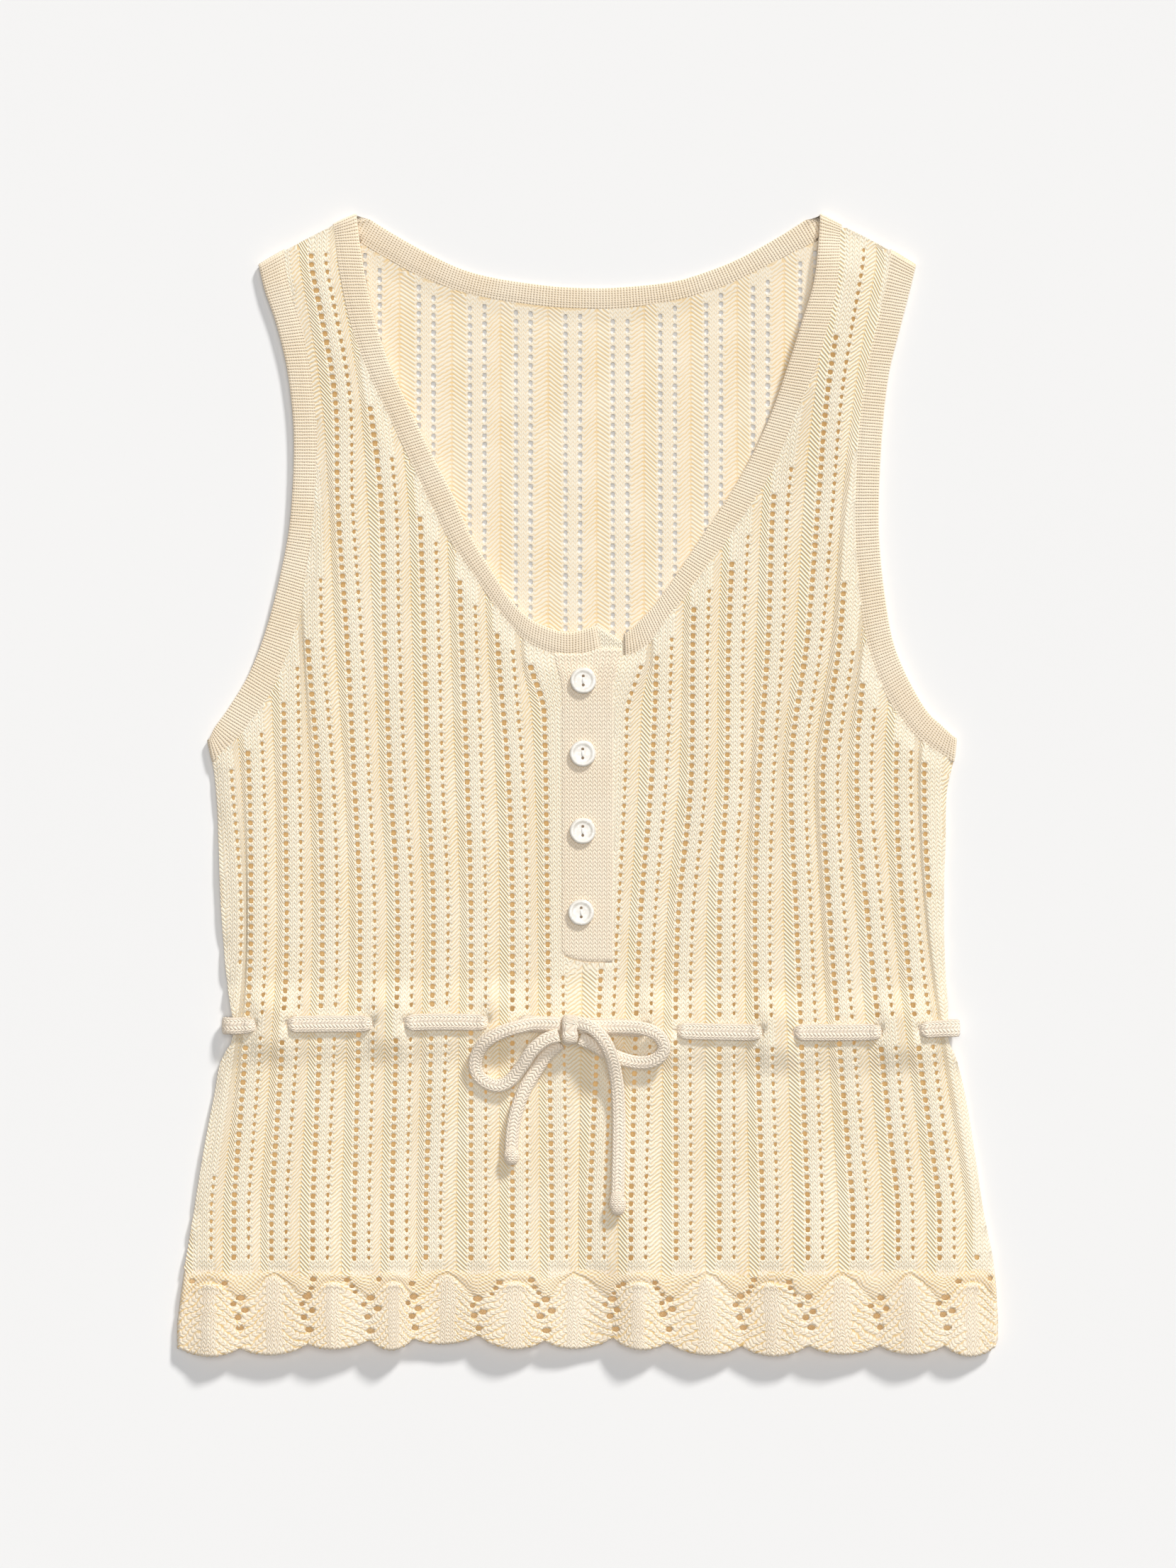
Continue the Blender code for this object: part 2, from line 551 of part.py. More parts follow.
def front_outline():
    neck_left = seam_path(NECK_LEFT, 1, GAP)
    neck_right = seam_path(NECK_RIGHT, -1, GAP)[::-1]
    half = PLACKET_HALF
    neck_left = [tuple(p) for p in neck_left if p[0] < -half - 0.4]
    neck_right = [tuple(p) for p in neck_right if p[0] > half + 0.4]
    top_left = neck_left[-1][1]
    top_right = neck_right[0][1]
    steps = np.linspace(0.0, 1.0, 9)
    foot = smooth_line(PLACKET_FOOT["x"], PLACKET_FOOT["y"])
    notch = [(-half, top_left + (foot(-half) - top_left) * t) for t in steps]
    notch += [(x, foot(x)) for x in (-7.0, 0.0, 7.0)]
    notch += [(half, foot(half) + (top_right - 0.6 - foot(half)) * t) for t in steps]
    shoulder_right = [(148.0, 290.6)]
    shoulder_left = [(-148.0, 290.6)]
    return dedupe(panel_sides() + shoulder_left + neck_left + notch + neck_right + shoulder_right)


def back_outline():
    neck = [tuple(p) for p in seam_path(NECK_BACK, 1, GAP)]
    shoulder_left = [(-148.0, 290.6), (-134.8, 296.2)]
    shoulder_right = [(134.8, 296.2), (148.0, 290.6)]
    return dedupe(panel_sides(BACK_HEM_SHORT) + shoulder_left + neck + shoulder_right)


def hexagon(x, y, half_x, half_y):
    turns = [math.pi * (2 * i + 1) / 6 for i in range(6)]
    return [(x + half_x * math.cos(a) / math.cos(math.pi / 6), y + half_y * math.sin(a)) for a in turns]


def lace_holes():
    """Two of the largest holes between each pair of scallops."""
    middles = [(a[0] + b[0]) / 2 for a, b in zip(SCALLOPS[:-1], SCALLOPS[1:])]
    return [hexagon(x, y, *LACE_HOLE) for x in middles for y in LACE_HOLE_ROWS]


def slots(stretches, cloth_half):
    """The eyelets that the drawstring goes through, at both ends of each stretch that shows."""
    ends = [x for stretch in stretches for x in stretch if abs(x) < cloth_half]
    return [hexagon(x, float(waist_y(x)), *SLOT) for x in ends]


# Grids of points that carry the relief

def station_rows():
    body = list(np.linspace(290.0, -95.0, 14)) + list(np.linspace(-172.0, -250.0, 4))
    return sorted(body + [-265.0, -288.0], reverse=True)


def waist_rows(x):
    return [float(waist_y(x)) + d for d in (19.0, 7.5, -7.5, -19.0)]


def rib_columns(y):
    """x of each valley and each side of a crest at height y."""
    mids = [float(line(y)) for line in rib_lines]
    columns = [mids[0] - 11.0]
    for k, mid in enumerate(mids):
        columns += [mid - RIB_HALF, mid + RIB_HALF]
        after = mids[k + 1] if k < len(mids) - 1 else mid + 22.0
        columns.append((mid + after) / 2)
    return columns


def rib_grid(plain_side=False):
    """Lines of points down each valley and each side of a crest. The plain side needs fewer."""
    lines = []
    for c, x in enumerate(rib_columns(float(waist_y(0.0)))):
        if plain_side and c % 3 == 2:
            continue
        rows = sorted(station_rows() + waist_rows(x), reverse=True)
        if plain_side and c % 3 == 1:
            rows = [y for y in rows if y < -100.0]
        lines.append([(rib_columns(y)[c], y) for y in rows])
    return lines


def plain_grid(spacing):
    """Lines of points down a plain cloth, closer near the drawstring."""
    lines = []
    for x in np.arange(-215.0, 216.0, spacing):
        rows = list(np.linspace(280.0, -90.0, 7)) + waist_rows(x) + [-190.0, -235.0, -280.0]
        lines.append([(x, y) for y in sorted(rows, reverse=True)])
    for x in np.arange(-215.0 + spacing / 2, 216.0, spacing):
        lines.append([(x, y) for y in waist_rows(x)])
    return lines


# The pieces

def front_top(x, y):
    """The outside of the front panel, with its ribs fading out towards every seam."""
    points = np.column_stack([x, y])
    seams = [SEALED_LEFT, SEALED_RIGHT, ARM_SEAMS[0], ARM_SEAMS[1], NECK_SEAMS[0], NECK_SEAMS[1], NOTCH]
    clear = np.min([distance_to(path, points) for path in seams], axis=0)
    return front_low(x, y) + WALL + rib_relief(x, y) * step((clear - 3.0) / 7.0)


def make_front():
    loops = [front_outline()] + lace_holes() + slots(FRONT_SHOWS, 180.0)
    return cloth("front_panel", loops, rib_grid(), rib_grid(plain_side=True), front_low, front_top, BODY_COLOR)


def make_back():
    loops = [back_outline()] + slots(BACK_SHOWS, 180.0)
    grid = plain_grid(22.0)
    return cloth("back_panel", loops, grid, grid, back_low, lambda x, y: back_low(x, y) + WALL, BODY_COLOR)


def fold_sections(free, seam, low, high, out, thick, count=5):
    """Rings that take a band round a fold, from its upper layer (high) to its lower one (low)."""
    rings = []
    middle = (low + high) / 2
    radius = (high - low) / 2
    for turn in np.linspace(math.pi / 2, -math.pi / 2, count + 2)[1:-1]:
        up = np.array([out[0] * math.cos(turn), out[1] * math.cos(turn), math.sin(turn)])
        shift = np.array([out[0], out[1], 0.0]) * radius * math.cos(turn)
        height = middle + radius * math.sin(turn)
        rings.append(strip_ring(np.append(free, height) + shift, np.append(seam, height) + shift, up, thick))
    return rings


def band_rings(free, seam, level, thick):
    """Rings along a band; level gives the height of its middle above the table."""
    rings = []
    for f, s in zip(free, seam):
        f3 = np.append(f, level(f))
        s3 = np.append(s, level(s))
        across = (s3 - f3) / np.linalg.norm(s3 - f3)
        up = np.array([0.0, 0.0, 1.0]) - across * across[2]
        rings.append(strip_ring(f3, s3, up / np.linalg.norm(up), thick))
    return rings


def upper_level(thick):
    def level(p):
        return float(front_low(np.array([p[0]]), np.array([p[1]]))[0]) + thick / 2
    return level


def lower_level(thick):
    def level(p):
        return float(back_low(p[0], p[1])) + thick / 2
    return level


def turned_over(ring):
    """The same section seen from the other side, so that its points match a ring that has gone round a fold."""
    return ring[::-1]


def make_armband(name, table, side):
    """A ring of fine rib: its front half above, its back half below, folded at shoulder and underarm."""
    thick = WALL + BAND_RISE
    free, seam = paired_curve(table)
    front = band_rings(free, seam, upper_level(thick), thick)
    back = [turned_over(r) for r in band_rings(free, seam, lower_level(WALL), WALL)]
    high = [upper_level(thick)((free[i] + seam[i]) / 2) for i in (0, -1)]
    low = [lower_level(WALL)((free[i] + seam[i]) / 2) for i in (0, -1)]
    shoulder_out = (0.5 * side, 0.866)
    underarm_out = (0.98 * side, -0.17)
    top_fold = fold_sections(free[0], seam[0], low[0], high[0], shoulder_out, WALL)
    under_fold = fold_sections(free[-1], seam[-1], low[-1], high[-1], underarm_out, WALL)
    rings = front + under_fold + back[::-1] + top_fold[::-1]
    return sweep(name, rings, BAND_COLOR, closed=True)


def make_neckband():
    """One strip: up the left front, over the shoulder, round the back neck, and down the right front."""
    thick = WALL + BAND_RISE
    left_free, left_seam = paired_curve(NECK_LEFT)
    right_free, right_seam = paired_curve(NECK_RIGHT)
    back_free, back_seam = paired_curve(NECK_BACK)
    level = upper_level(thick)
    left = band_rings(left_free, left_seam, level, thick)[::-1]
    right = band_rings(right_free, right_seam, level, thick)
    back = [turned_over(r) for r in band_rings(back_free, back_seam, lower_level(WALL), WALL)]
    folds = []
    for free, seam, out in ((left_free[0], left_seam[0], (-0.1, 0.995)), (right_free[0], right_seam[0], (0.1, 0.995))):
        folds.append(fold_sections(free, seam, WALL / 2, level((free + seam) / 2), out, WALL))
    rings = left + folds[0] + back + folds[1][::-1] + right
    return sweep("neckband", rings, BAND_COLOR)


def ruled_grid(x_values, y_top, y_low, count):
    return [[(x, y_top + (y_low - y_top) * t) for t in np.linspace(0.0, 1.0, count)] for x in x_values]


def band_loop(left, right, top, foot, tab=(), steps=7):
    """Outline of a placket band, anticlockwise: down its left edge, along its foot, up its right edge, and
    round the tab that shows past the neckband."""
    xs = np.linspace(left, right, 5)
    down = np.linspace(0.0, 1.0, steps)
    loop = [(left, top(left) + (foot(left) - top(left)) * t) for t in down]
    loop += [(x, foot(x)) for x in xs[1:-1]]
    loop += [(right, foot(right) + (top(right) - foot(right)) * t) for t in down]
    loop += list(tab)
    loop += [(x, top(x)) for x in xs[::-1][1:-1] if not tab or x < tab[-1][0] - 1.0]
    return loop


def make_placket():
    """The button band fills the notch; the buttonhole band lies on it."""
    foot = smooth_line(PLACKET_FOOT["x"], [y + GAP for y in PLACKET_FOOT["y"]])
    seam_x = NECK_LEFT["seam_x"][-4:]
    seam_y = [y - GAP for y in NECK_LEFT["seam_y"][-4:]]
    neck = smooth_line(seam_x + (18.0,), tuple(seam_y) + (seam_y[-1] - 0.8,))
    half = PLACKET_HALF - GAP

    def under_top(x, y):
        return front_low(x, y) + UNDER_THICK

    def over_low(x, y):
        return under_top(x, y) + GAP

    def over_top(x, y):
        return over_low(x, y) + OVER_THICK

    grid = ruled_grid(np.linspace(-8.5, 8.5, 3), 60.0, -88.0, 10)
    under = band_loop(-half, half, lambda x: neck(x) - 0.2, foot, UNDERLAP)
    cloth("placket_under", [under], grid, grid, front_low, under_top, BODY_COLOR, edge=0.8, edge_round=1.0)
    over = band_loop(-half, half, neck, foot)
    cloth("placket_over", [over], grid, grid, over_low, over_top, BAND_COLOR, edge=0.7, edge_round=1.4)
    return over_top


def make_buttons(placket_top):
    """Two-hole buttons with a raised rim, a shallow well and their holes one above the other."""
    for number, (x, y) in enumerate(zip(BUTTONS["x"], BUTTONS["y"]), start=1):
        around = [(x + 4.0 * i, y + 4.0 * j) for i in (-1, 0, 1) for j in (-1, 0, 1)]
        seat = max(float(placket_top(np.array([a]), np.array([b]))[0]) for a, b in around) + GAP

        def low(px, py, at=(x, y), z=seat):
            far = np.hypot(px - at[0], py - at[1])
            return z + 0.5 * step((far - 4.8) / 2.2)

        def top(px, py, at=(x, y), z=seat):
            far = np.hypot(px - at[0], py - at[1])
            return z + BUTTON_THICK + BUTTON_RIM * (step(far - BUTTON_WELL_R) - 1.0)

        def ring(radius, count, mid_y=0.0):
            turns = [2 * math.pi * i / count for i in range(count)]
            return [(x + radius * math.cos(a), y + mid_y + radius * math.sin(a)) for a in turns]

        holes = [ring(BUTTON_HOLE_R, 8, side * BUTTON_HOLE_APART / 2) for side in (-1, 1)]
        circles = [ring(BUTTON_WELL_R + r, 16) for r in (0.0, 1.0)]
        cloth(f"button_{number}", [ring(BUTTON_R, 20)] + holes, circles, [ring(4.8, 10)], low, top,
              BUTTON_COLOR, roughness=0.25, edge=1.0, edge_round=0.9)


# The drawstring

def flat_ring(point, ahead, wide, thick, up=(0.0, 0.0, 1.0)):
    """An eight-sided flat oval section across the direction ahead."""
    ahead = Vector(ahead).normalized()
    side = ahead.cross(Vector(up)).normalized()
    rise = side.cross(ahead).normalized()
    turns = [math.pi * (2 * i + 1) / 8 for i in range(8)]
    width = wide / 2 / math.cos(math.pi / 8)
    depth = thick / 2 / math.cos(math.pi / 8)
    squash = [(math.copysign(abs(math.cos(a)) ** 0.8, math.cos(a)), math.copysign(abs(math.sin(a)), math.sin(a)))
              for a in turns]
    return [Vector(point) + side * width * c + rise * depth * s for c, s in squash]


def direction_at(route, i):
    return Vector(route[min(i + 1, len(route) - 1)]) - Vector(route[max(i - 1, 0)])


def cloth_top_at(x, y):
    """The highest point of the front panel's outside near a place."""
    around = np.array([(x + i, y + j) for i in (-2.5, 0.0, 2.5) for j in (-2.5, 0.0, 2.5)])
    return float(front_top(around[:, 0], around[:, 1]).max())


def waist_run():
    """Centre, width and upward direction of the waist drawstring, from the knot's left side all round."""
    half = CORD_THICK / 2
    points = []

    def pinch(x, stretches):
        ends = [e for stretch in stretches for e in stretch if abs(e) < 180.0]
        near = min(abs(x - e) for e in ends)
        return CORD_PINCH + (CORD_WIDE - CORD_PINCH) * float(step((near - 2.6) / 2.4))

    def front(x):
        y = float(waist_y(x))
        outside = 0.0
        for start, end in FRONT_SHOWS:
            outside += float(step((x - start) / 5.0 + 0.5) * (1.0 - step((x - end) / 5.0 + 0.5)))
        inside_z = float(front_low(np.array([x]), np.array([y]))[0]) - GAP - half
        outside_z = cloth_top_at(x, y) + GAP + half
        points.append((x, y, inside_z + (outside_z - inside_z) * outside, pinch(x, FRONT_SHOWS), (0, 0, 1)))

    def behind(x):
        y = float(waist_y(x))
        outside = 0.0
        for start, end in BACK_SHOWS:
            outside += float(step((x - start) / 5.0 + 0.5) * (1.0 - step((x - end) / 5.0 + 0.5)))
        inside_z = float(back_low(x, y)) + WALL + GAP + half
        outside_z = max(float(back_low(x, y)) - GAP - half, half + 0.05)
        points.append((x, y, inside_z + (outside_z - inside_z) * outside, pinch(x, BACK_SHOWS), (0, 0, -1)))

    def side(edge_x, reach, direction):
        """Round the side seam, from in front to behind when direction is -1."""
        y = float(waist_y(edge_x))
        high = cloth_top_at(edge_x - math.copysign(5.0, edge_x), y) + GAP + half
        low = half + 0.05
        turns = np.linspace(math.pi / 2, -math.pi / 2, 7)
        if direction > 0:
            turns = turns[::-1]
        for a in turns:
            out = math.copysign(reach * math.cos(a), edge_x)
            z = (high + low) / 2 + (high - low) / 2 * math.sin(a)
            points.append((edge_x + out, y, z, CORD_WIDE, (math.copysign(math.cos(a), edge_x), 0, math.sin(a))))

    def stops(stretches, start, end):
        """Places along x: close together at each eyelet, wider between."""
        eyelets = [e for stretch in stretches for e in stretch if abs(e) < 180.0]
        xs = [e + d for e in eyelets for d in (-5.0, -2.4, 2.4, 5.0)]
        xs += [(a + b) / 2 for a, b in zip(sorted(eyelets)[:-1], sorted(eyelets)[1:])]
        xs += [start, end]
        low, high = min(start, end), max(start, end)
        return sorted((x for x in xs if low <= x <= high), reverse=start > end)

    for x in stops(FRONT_SHOWS, KNOT[0] - 4.6, -184.0):
        front(x)
    side(*SIDE_WRAPS["left"], -1)
    for x in stops(BACK_SHOWS, -183.0, 185.5):
        behind(x)
    side(*SIDE_WRAPS["right"], 1)
    for x in stops(FRONT_SHOWS, 186.0, KNOT[0] + 4.6):
        front(x)
    return points


def make_waist_cord():
    run = waist_run()
    rings = []
    for i, (x, y, z, wide, up) in enumerate(run):
        rings.append(flat_ring((x, y, z), direction_at([row[:3] for row in run], i), wide, CORD_THICK, up))
    return sweep("drawstring_waist", rings, CORD_COLOR)


def tie_route(table):
    """Centre points of a loop or a free end: what it lies on, its own half thickness and its lift."""
    route = []
    for x, y, lift in curve(table_points(table, "x", "y", "lift"), 5.0):
        route.append((x, y, cloth_top_at(x, y) + GAP + TIE_THICK / 2 + lift))
    return route


def make_tie(name, table):
    route = tie_route(table)
    rings = [flat_ring(point, direction_at(route, i), TIE_WIDE, TIE_THICK) for i, point in enumerate(route)]
    return sweep(name, rings, CORD_COLOR)


def make_knob(name, x, y, half_x, half_y, low, high):
    """A rounded knot: a squared-off ball, a little waisted."""
    bm = bmesh.new()
    bmesh.ops.create_uvsphere(bm, u_segments=12, v_segments=7, radius=1.0)
    for v in bm.verts:
        for axis, half in enumerate((half_x, half_y, (high - low) / 2)):
            v.co[axis] = math.copysign(abs(v.co[axis]) ** 0.8, v.co[axis]) * half
        v.co += Vector((x, y, (high + low) / 2))
        v.co *= MM
    return add_object(name, bm, CORD_COLOR, 0.85)


def make_bow():
    make_tie("bow_loop_left", LOOP_LEFT)
    make_tie("bow_loop_right", LOOP_RIGHT)
    make_tie("bow_tail_left", TAIL_LEFT)
    make_tie("bow_tail_right", TAIL_RIGHT)
    base = cloth_top_at(*KNOT) + GAP
    make_knob("bow_knot", KNOT[0], KNOT[1], 4.2, 7.6, base, base + 7.6)
    for side, x, y, half_x, half_y in END_KNOTS:
        rest = cloth_top_at(x, y) + GAP
        make_knob(f"end_knot_{side}", x, y, half_x, half_y, rest, rest + 5.2)


def clear_scene():
    for obj in list(bpy.data.objects):
        bpy.data.objects.remove(obj, do_unlink=True)


ARM_SEAMS = (curve(table_points(ARMBAND_LEFT, "seam_x", "seam_y"), 8.5),
             curve(table_points(ARMBAND_RIGHT, "seam_x", "seam_y"), 8.5))
NECK_SEAMS = (curve(table_points(NECK_LEFT, "seam_x", "seam_y"), 8.5),
              curve(table_points(NECK_RIGHT, "seam_x", "seam_y"), 8.5))
NOTCH = [(-21.0, 68.0), (-21.0, -92.0), (17.0, -95.0), (20.0, 68.0)]


def main():
    clear_scene()
    make_front()
    make_back()
    make_armband("armband_left", ARMBAND_LEFT, -1)
    make_armband("armband_right", ARMBAND_RIGHT, 1)
    make_neckband()
    placket_top = make_placket()
    make_buttons(placket_top)
    make_waist_cord()
    make_bow()


main()
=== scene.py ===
"""Looks of a sleeveless pointelle-knit tank top with a waist drawstring and a scalloped lace hem, laid flat.

Sizes in the tables are millimetres. The knit panels are grids whose columns follow the wales and whose rows
follow the courses, so that the eyelets are real holes between stitches.
"""

import math
import random

import bmesh
import bpy
import numpy as np
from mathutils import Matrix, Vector, kdtree


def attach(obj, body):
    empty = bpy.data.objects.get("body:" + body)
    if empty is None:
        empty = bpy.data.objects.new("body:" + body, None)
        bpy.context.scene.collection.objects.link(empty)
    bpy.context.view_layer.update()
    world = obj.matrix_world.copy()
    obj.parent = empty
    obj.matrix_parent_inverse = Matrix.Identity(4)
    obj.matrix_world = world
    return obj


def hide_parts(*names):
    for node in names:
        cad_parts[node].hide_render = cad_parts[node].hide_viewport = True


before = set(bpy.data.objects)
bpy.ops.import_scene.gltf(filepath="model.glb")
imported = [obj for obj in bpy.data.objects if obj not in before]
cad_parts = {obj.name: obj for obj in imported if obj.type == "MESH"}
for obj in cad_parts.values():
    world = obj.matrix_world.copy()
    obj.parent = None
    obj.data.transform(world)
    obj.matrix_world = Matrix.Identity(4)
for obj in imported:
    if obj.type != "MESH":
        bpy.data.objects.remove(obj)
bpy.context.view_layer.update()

MM = 0.001
PHOTO_TALL = 2212           # pixels
PHOTO_SCALE = 0.377         # mm for each pixel, at the cloth
CAMERA_AWAY = 2.6           # metres above the cloth

# Cloth and cord
WALL = 1.8                  # one layer of the knit
KNIT = 1.5                  # how thick the shown cloth is
GAP = 0.35
BAND_RISE = 0.5
FOLD_REACH = 0.35           # how far a band bulges out where it turns to the back, as a share of half its height
AIR = 1.0
CORD_THICK = 2.2
CORD_WIDE = 9.0
TIE_THICK = 3.6
TIE_WIDE = 7.2
COURSE = 2.3                # height of one row of stitches
PITCH = 2 * COURSE          # from one eyelet to the next
EYELET_TALL = 3.4
TOP_ROW = 302.0
LACE_TOP = -258.0
LACE_STRAND = 3.1           # from one slanted strand of the lace to the next
LACE_TALL = 43.0            # the lace's height in its own map
FAN_HALF = 16.0             # half a scallop's width in its own map
POINTED_SWAG = (2.5, 17.0, 1.3)     # where a fan starts below the lace's top, how far it drops, and how sharply
ARCHED_SWAG = (6.5, 12.5, 2.2)

SIDES = {
    "y": (12.4, -1.5, -31.7, -61.8, -92.0, -116.0, -124.0, -136.0, -146.0, -167.4, -197.5, -227.7, -257.9, -286.0),
    "left": (-199.8, -197.9, -196.4, -195.3, -193.2, -190.4, -188.8, -188.9, -194.6, -199.1, -204.7, -209.6,
             -214.5, -218.4),
    "right": (194.9, 191.5, 190.4, 189.6, 190.0, 191.4, 191.6, 191.7, 196.0, 201.3, 206.2, 210.7, 216.4, 218.4),
}
ARMBAND_LEFT = {
    "free_x": (-175.0, -171.9, -165.5, -159.5, -156.5, -158.3, -163.6, -171.2, -180.2, -191.5, -198.3, -201.4),
    "free_y": (275.4, 262.4, 243.5, 217.2, 183.2, 141.8, 111.6, 82.2, 58.8, 40.0, 30.5, 24.1),
    "seam_x": (-161.7, -159.4, -153.1, -147.4, -144.4, -146.3, -150.8, -157.2, -167.8, -179.8, -188.9, -199.2),
    "seam_y": (283.4, 266.2, 245.4, 217.2, 183.2, 141.0, 107.8, 77.7, 51.3, 33.2, 22.6, 12.9),
}
ARMBAND_RIGHT = {
    "free_x": (174.6, 171.5, 166.6, 160.2, 156.5, 154.9, 156.8, 161.7, 169.3, 179.8, 188.9, 195.4),
    "free_y": (275.4, 262.4, 243.5, 217.2, 183.2, 141.8, 111.6, 79.5, 58.8, 40.0, 30.9, 24.9),
    "seam_x": (161.7, 159.1, 154.2, 148.2, 144.0, 142.5, 144.0, 148.9, 157.2, 170.4, 182.1, 194.3),
    "seam_y": (283.4, 265.4, 245.1, 218.3, 184.0, 141.4, 109.7, 75.8, 51.3, 30.5, 20.0, 12.9),
}
NECK_LEFT = {
    "free_x": (-123.0, -121.0, -117.6, -112.3, -104.4, -93.9, -82.9, -71.3, -62.2, -50.9, -41.1, -30.9,
               -20.0, -10.9, -3.4, 4.5),
    "free_y": (302.7, 286.9, 266.2, 243.5, 220.9, 198.3, 175.7, 153.1, 132.3, 113.5, 98.4, 88.2,
               82.9, 80.6, 81.8, 84.1),
    "seam_x": (-134.6, -133.2, -130.1, -124.8, -116.5, -105.2, -93.9, -83.3, -71.3, -57.3, -44.9, -33.2,
               -21.1, -10.9, -3.4, 7.2),
    "seam_y": (297.6, 286.9, 266.2, 242.8, 219.0, 195.3, 171.9, 148.5, 127.4, 107.1, 89.7, 76.9,
               70.5, 68.2, 68.2, 71.3),
}
NECK_RIGHT = {
    "free_x": (123.6, 122.5, 119.9, 113.1, 105.9, 98.0, 87.8, 75.0, 61.1, 48.6, 38.1, 29.0, 24.1, 18.9),
    "free_y": (302.7, 286.9, 266.2, 243.5, 220.9, 198.3, 175.7, 153.1, 132.3, 113.5, 98.4, 88.2, 82.9, 79.6),
    "seam_x": (134.2, 133.5, 132.3, 126.7, 119.5, 109.7, 100.3, 86.0, 71.6, 56.9, 43.0, 33.9, 26.0, 18.9),
    "seam_y": (297.6, 286.9, 266.2, 242.8, 219.0, 195.3, 171.9, 148.5, 127.4, 107.1, 89.7, 76.9, 70.5, 68.9),
}
NECK_BACK = {
    "free_x": (-116.0, -103.5, -84.6, -66.2, -47.6, -20.0, 0.0, 18.5, 44.6, 62.8, 80.9, 102.0, 116.0),
    "free_y": (300.9, 293.2, 282.6, 274.1, 269.3, 265.4, 264.3, 264.7, 267.5, 272.7, 280.0, 291.6, 300.5),
    "seam_x": (-122.4, -109.6, -89.6, -69.6, -49.6, -20.6, 0.0, 18.8, 46.6, 66.2, 85.7, 107.8, 122.2),
    "seam_y": (289.8, 282.2, 271.2, 263.6, 258.8, 254.9, 253.9, 254.1, 258.4, 263.7, 271.8, 283.2, 289.8),
}
PLACKET_HALF = 13.2
UNDER_THICK = 1.2
OVER_THICK = 1.3
PLACKET_FOOT = {"x": (-13.2, -5.0, 4.0, 13.2), "y": (-91.6, -94.3, -95.2, -95.0)}
BUTTONS = {"x": (-2.3, -2.6, -2.6, -3.4), "y": (55.0, 16.2, -24.9, -68.2)}
BUTTON_HOLE_APART = 4.75
BUTTON_WELL = 1.74          # height of the well's floor
PLACKET_WALE = 2.48
PLACKET_COURSE = 2.15
BAND_LAP = 1.2              # how far a band reaches past its seam
FOLD_SECTIONS = 7           # sections of a band where it turns to the back

# The middle of each front rib at seven heights, and how far its eyelets are out of step with its neighbours'
RIB_Y = (-223.9, -73.1, 2.3, 77.7, 153.1, 206.0, 277.5)
RIB_X = (
    (-204, -188, -193, -199, -203, -204.9, -207),
    (-184, -175, -176, -181, -184, -185.8, -188),
    (-164, -156, -157, -159, -167, -170.1, -173),
    (-142, -137, -139, -145, -147, -153.3, -164),
    (-120, -117, -120, -124, -129, -130.2, -143),
    (-100, -97, -101, -104, -106, -112.6, -124),
    (-82, -78, -81, -83, -86, -91.7, -101),
    (-58, -58, -60, -63, -66, -70.3, -77),
    (-36, -36, -38, -44, -47, -49.1, -52),
    (-15, -17.4, -18.3, -20, -22, -23.7, -26),
    (5, 12.4, 16.2, 17.5, 17.5, 17.4, 17),
    (27, 32, 38, 41, 42, 42.8, 44),
    (51, 52, 59, 60, 63, 65.1, 68),
    (74, 74, 78, 79, 83, 87.7, 95),
    (97, 93, 95, 100, 103, 109.7, 121),
    (121, 115, 112, 121, 127, 131.4, 143),
    (145, 133, 129, 138, 144, 152, 164),
    (169, 153, 147, 153, 164, 172.7, 185),
    (191, 172, 168, 174, 185, 193, 204),
    (211, 187, 183, 193, 204, 210.6, 219),
)
RIB_SLIP = (0, 1, -0.7, 0.4, -1.2, 0.3, 1.4, -0.2, -1, 0.7, 0.2, 1.1, -0.8, 0.4, -0.4, 1.3, -1.4, 0.2, 0.8, -0.4)
PROFILE = (0.0, 0.55, 0.98, 1.1, 1.0, 1.1, 0.98, 0.55)      # a rib from its left valley, column by column
RIB_RISE = 1.08
CREST_HALF = 2.4            # half the width of the two wales on a rib's crest
EYELET_WIDE = (3.2, 2.8)    # left and right of the crest
BACK_EYELET_OUT = 5.4       # from a back rib's middle to the far side of its eyelets
RIB_COLUMNS = len(PROFILE)
EYELET_COLUMNS = (2, 5)
EYELET_MIN = 1.2            # courses; a bar between eyelets is lower than this

# The back's ribs where the neck opening shows them, carried on under the front
BACK_RIB_X = (-212, -187, -163, -139.5, -114.6, -86, -58.8, -34.3, -7.9, 17.3, 42.6, 67.1, 92, 117.2, 142, 167,
              192, 216)

SCALLOPS = (
    (-201.7, -304.4, -184.7, -300.2),
    (-166.6, -303.5, -148.5, -297.8),
    (-136.1, -300.2, -115.7, -295.6),
    (-102.5, -300.8, -92.7, -295.2),
    (-74.6, -298.0, -58.1, -293.3),
    (-38.5, -300.3, -23.0, -296.2),
    (-7.5, -300.5, 13.2, -294.8),
    (26.8, -300.6, 42.2, -297.2),
    (63.3, -303.5, 81.8, -299.2),
    (97.6, -304.2, 117.2, -298.6),
    (135.0, -303.2, 154.9, -298.8),
    (171.2, -303.2, 189.6, -298.8),
    (204.8, -304.4, 217.0, -299.5),
)
POINTED = (1, 4, 6, 8, 10, 11)      # scallops whose fan ends in a point at the top; the others end in a bobbled arch
LACE_HOLES = (                      # beside each notch: sideways, height, half width and half height
    (0.4, -273.2, 2.3, 1.5),
    (-3.6, -276.4, 1.6, 1.2),
    (3.2, -279.6, 2.0, 1.4),
    (-1.6, -282.6, 2.0, 1.5),
    (0.8, -289.6, 2.1, 1.4),
)
BACK_HEM_SHORT = 2.0
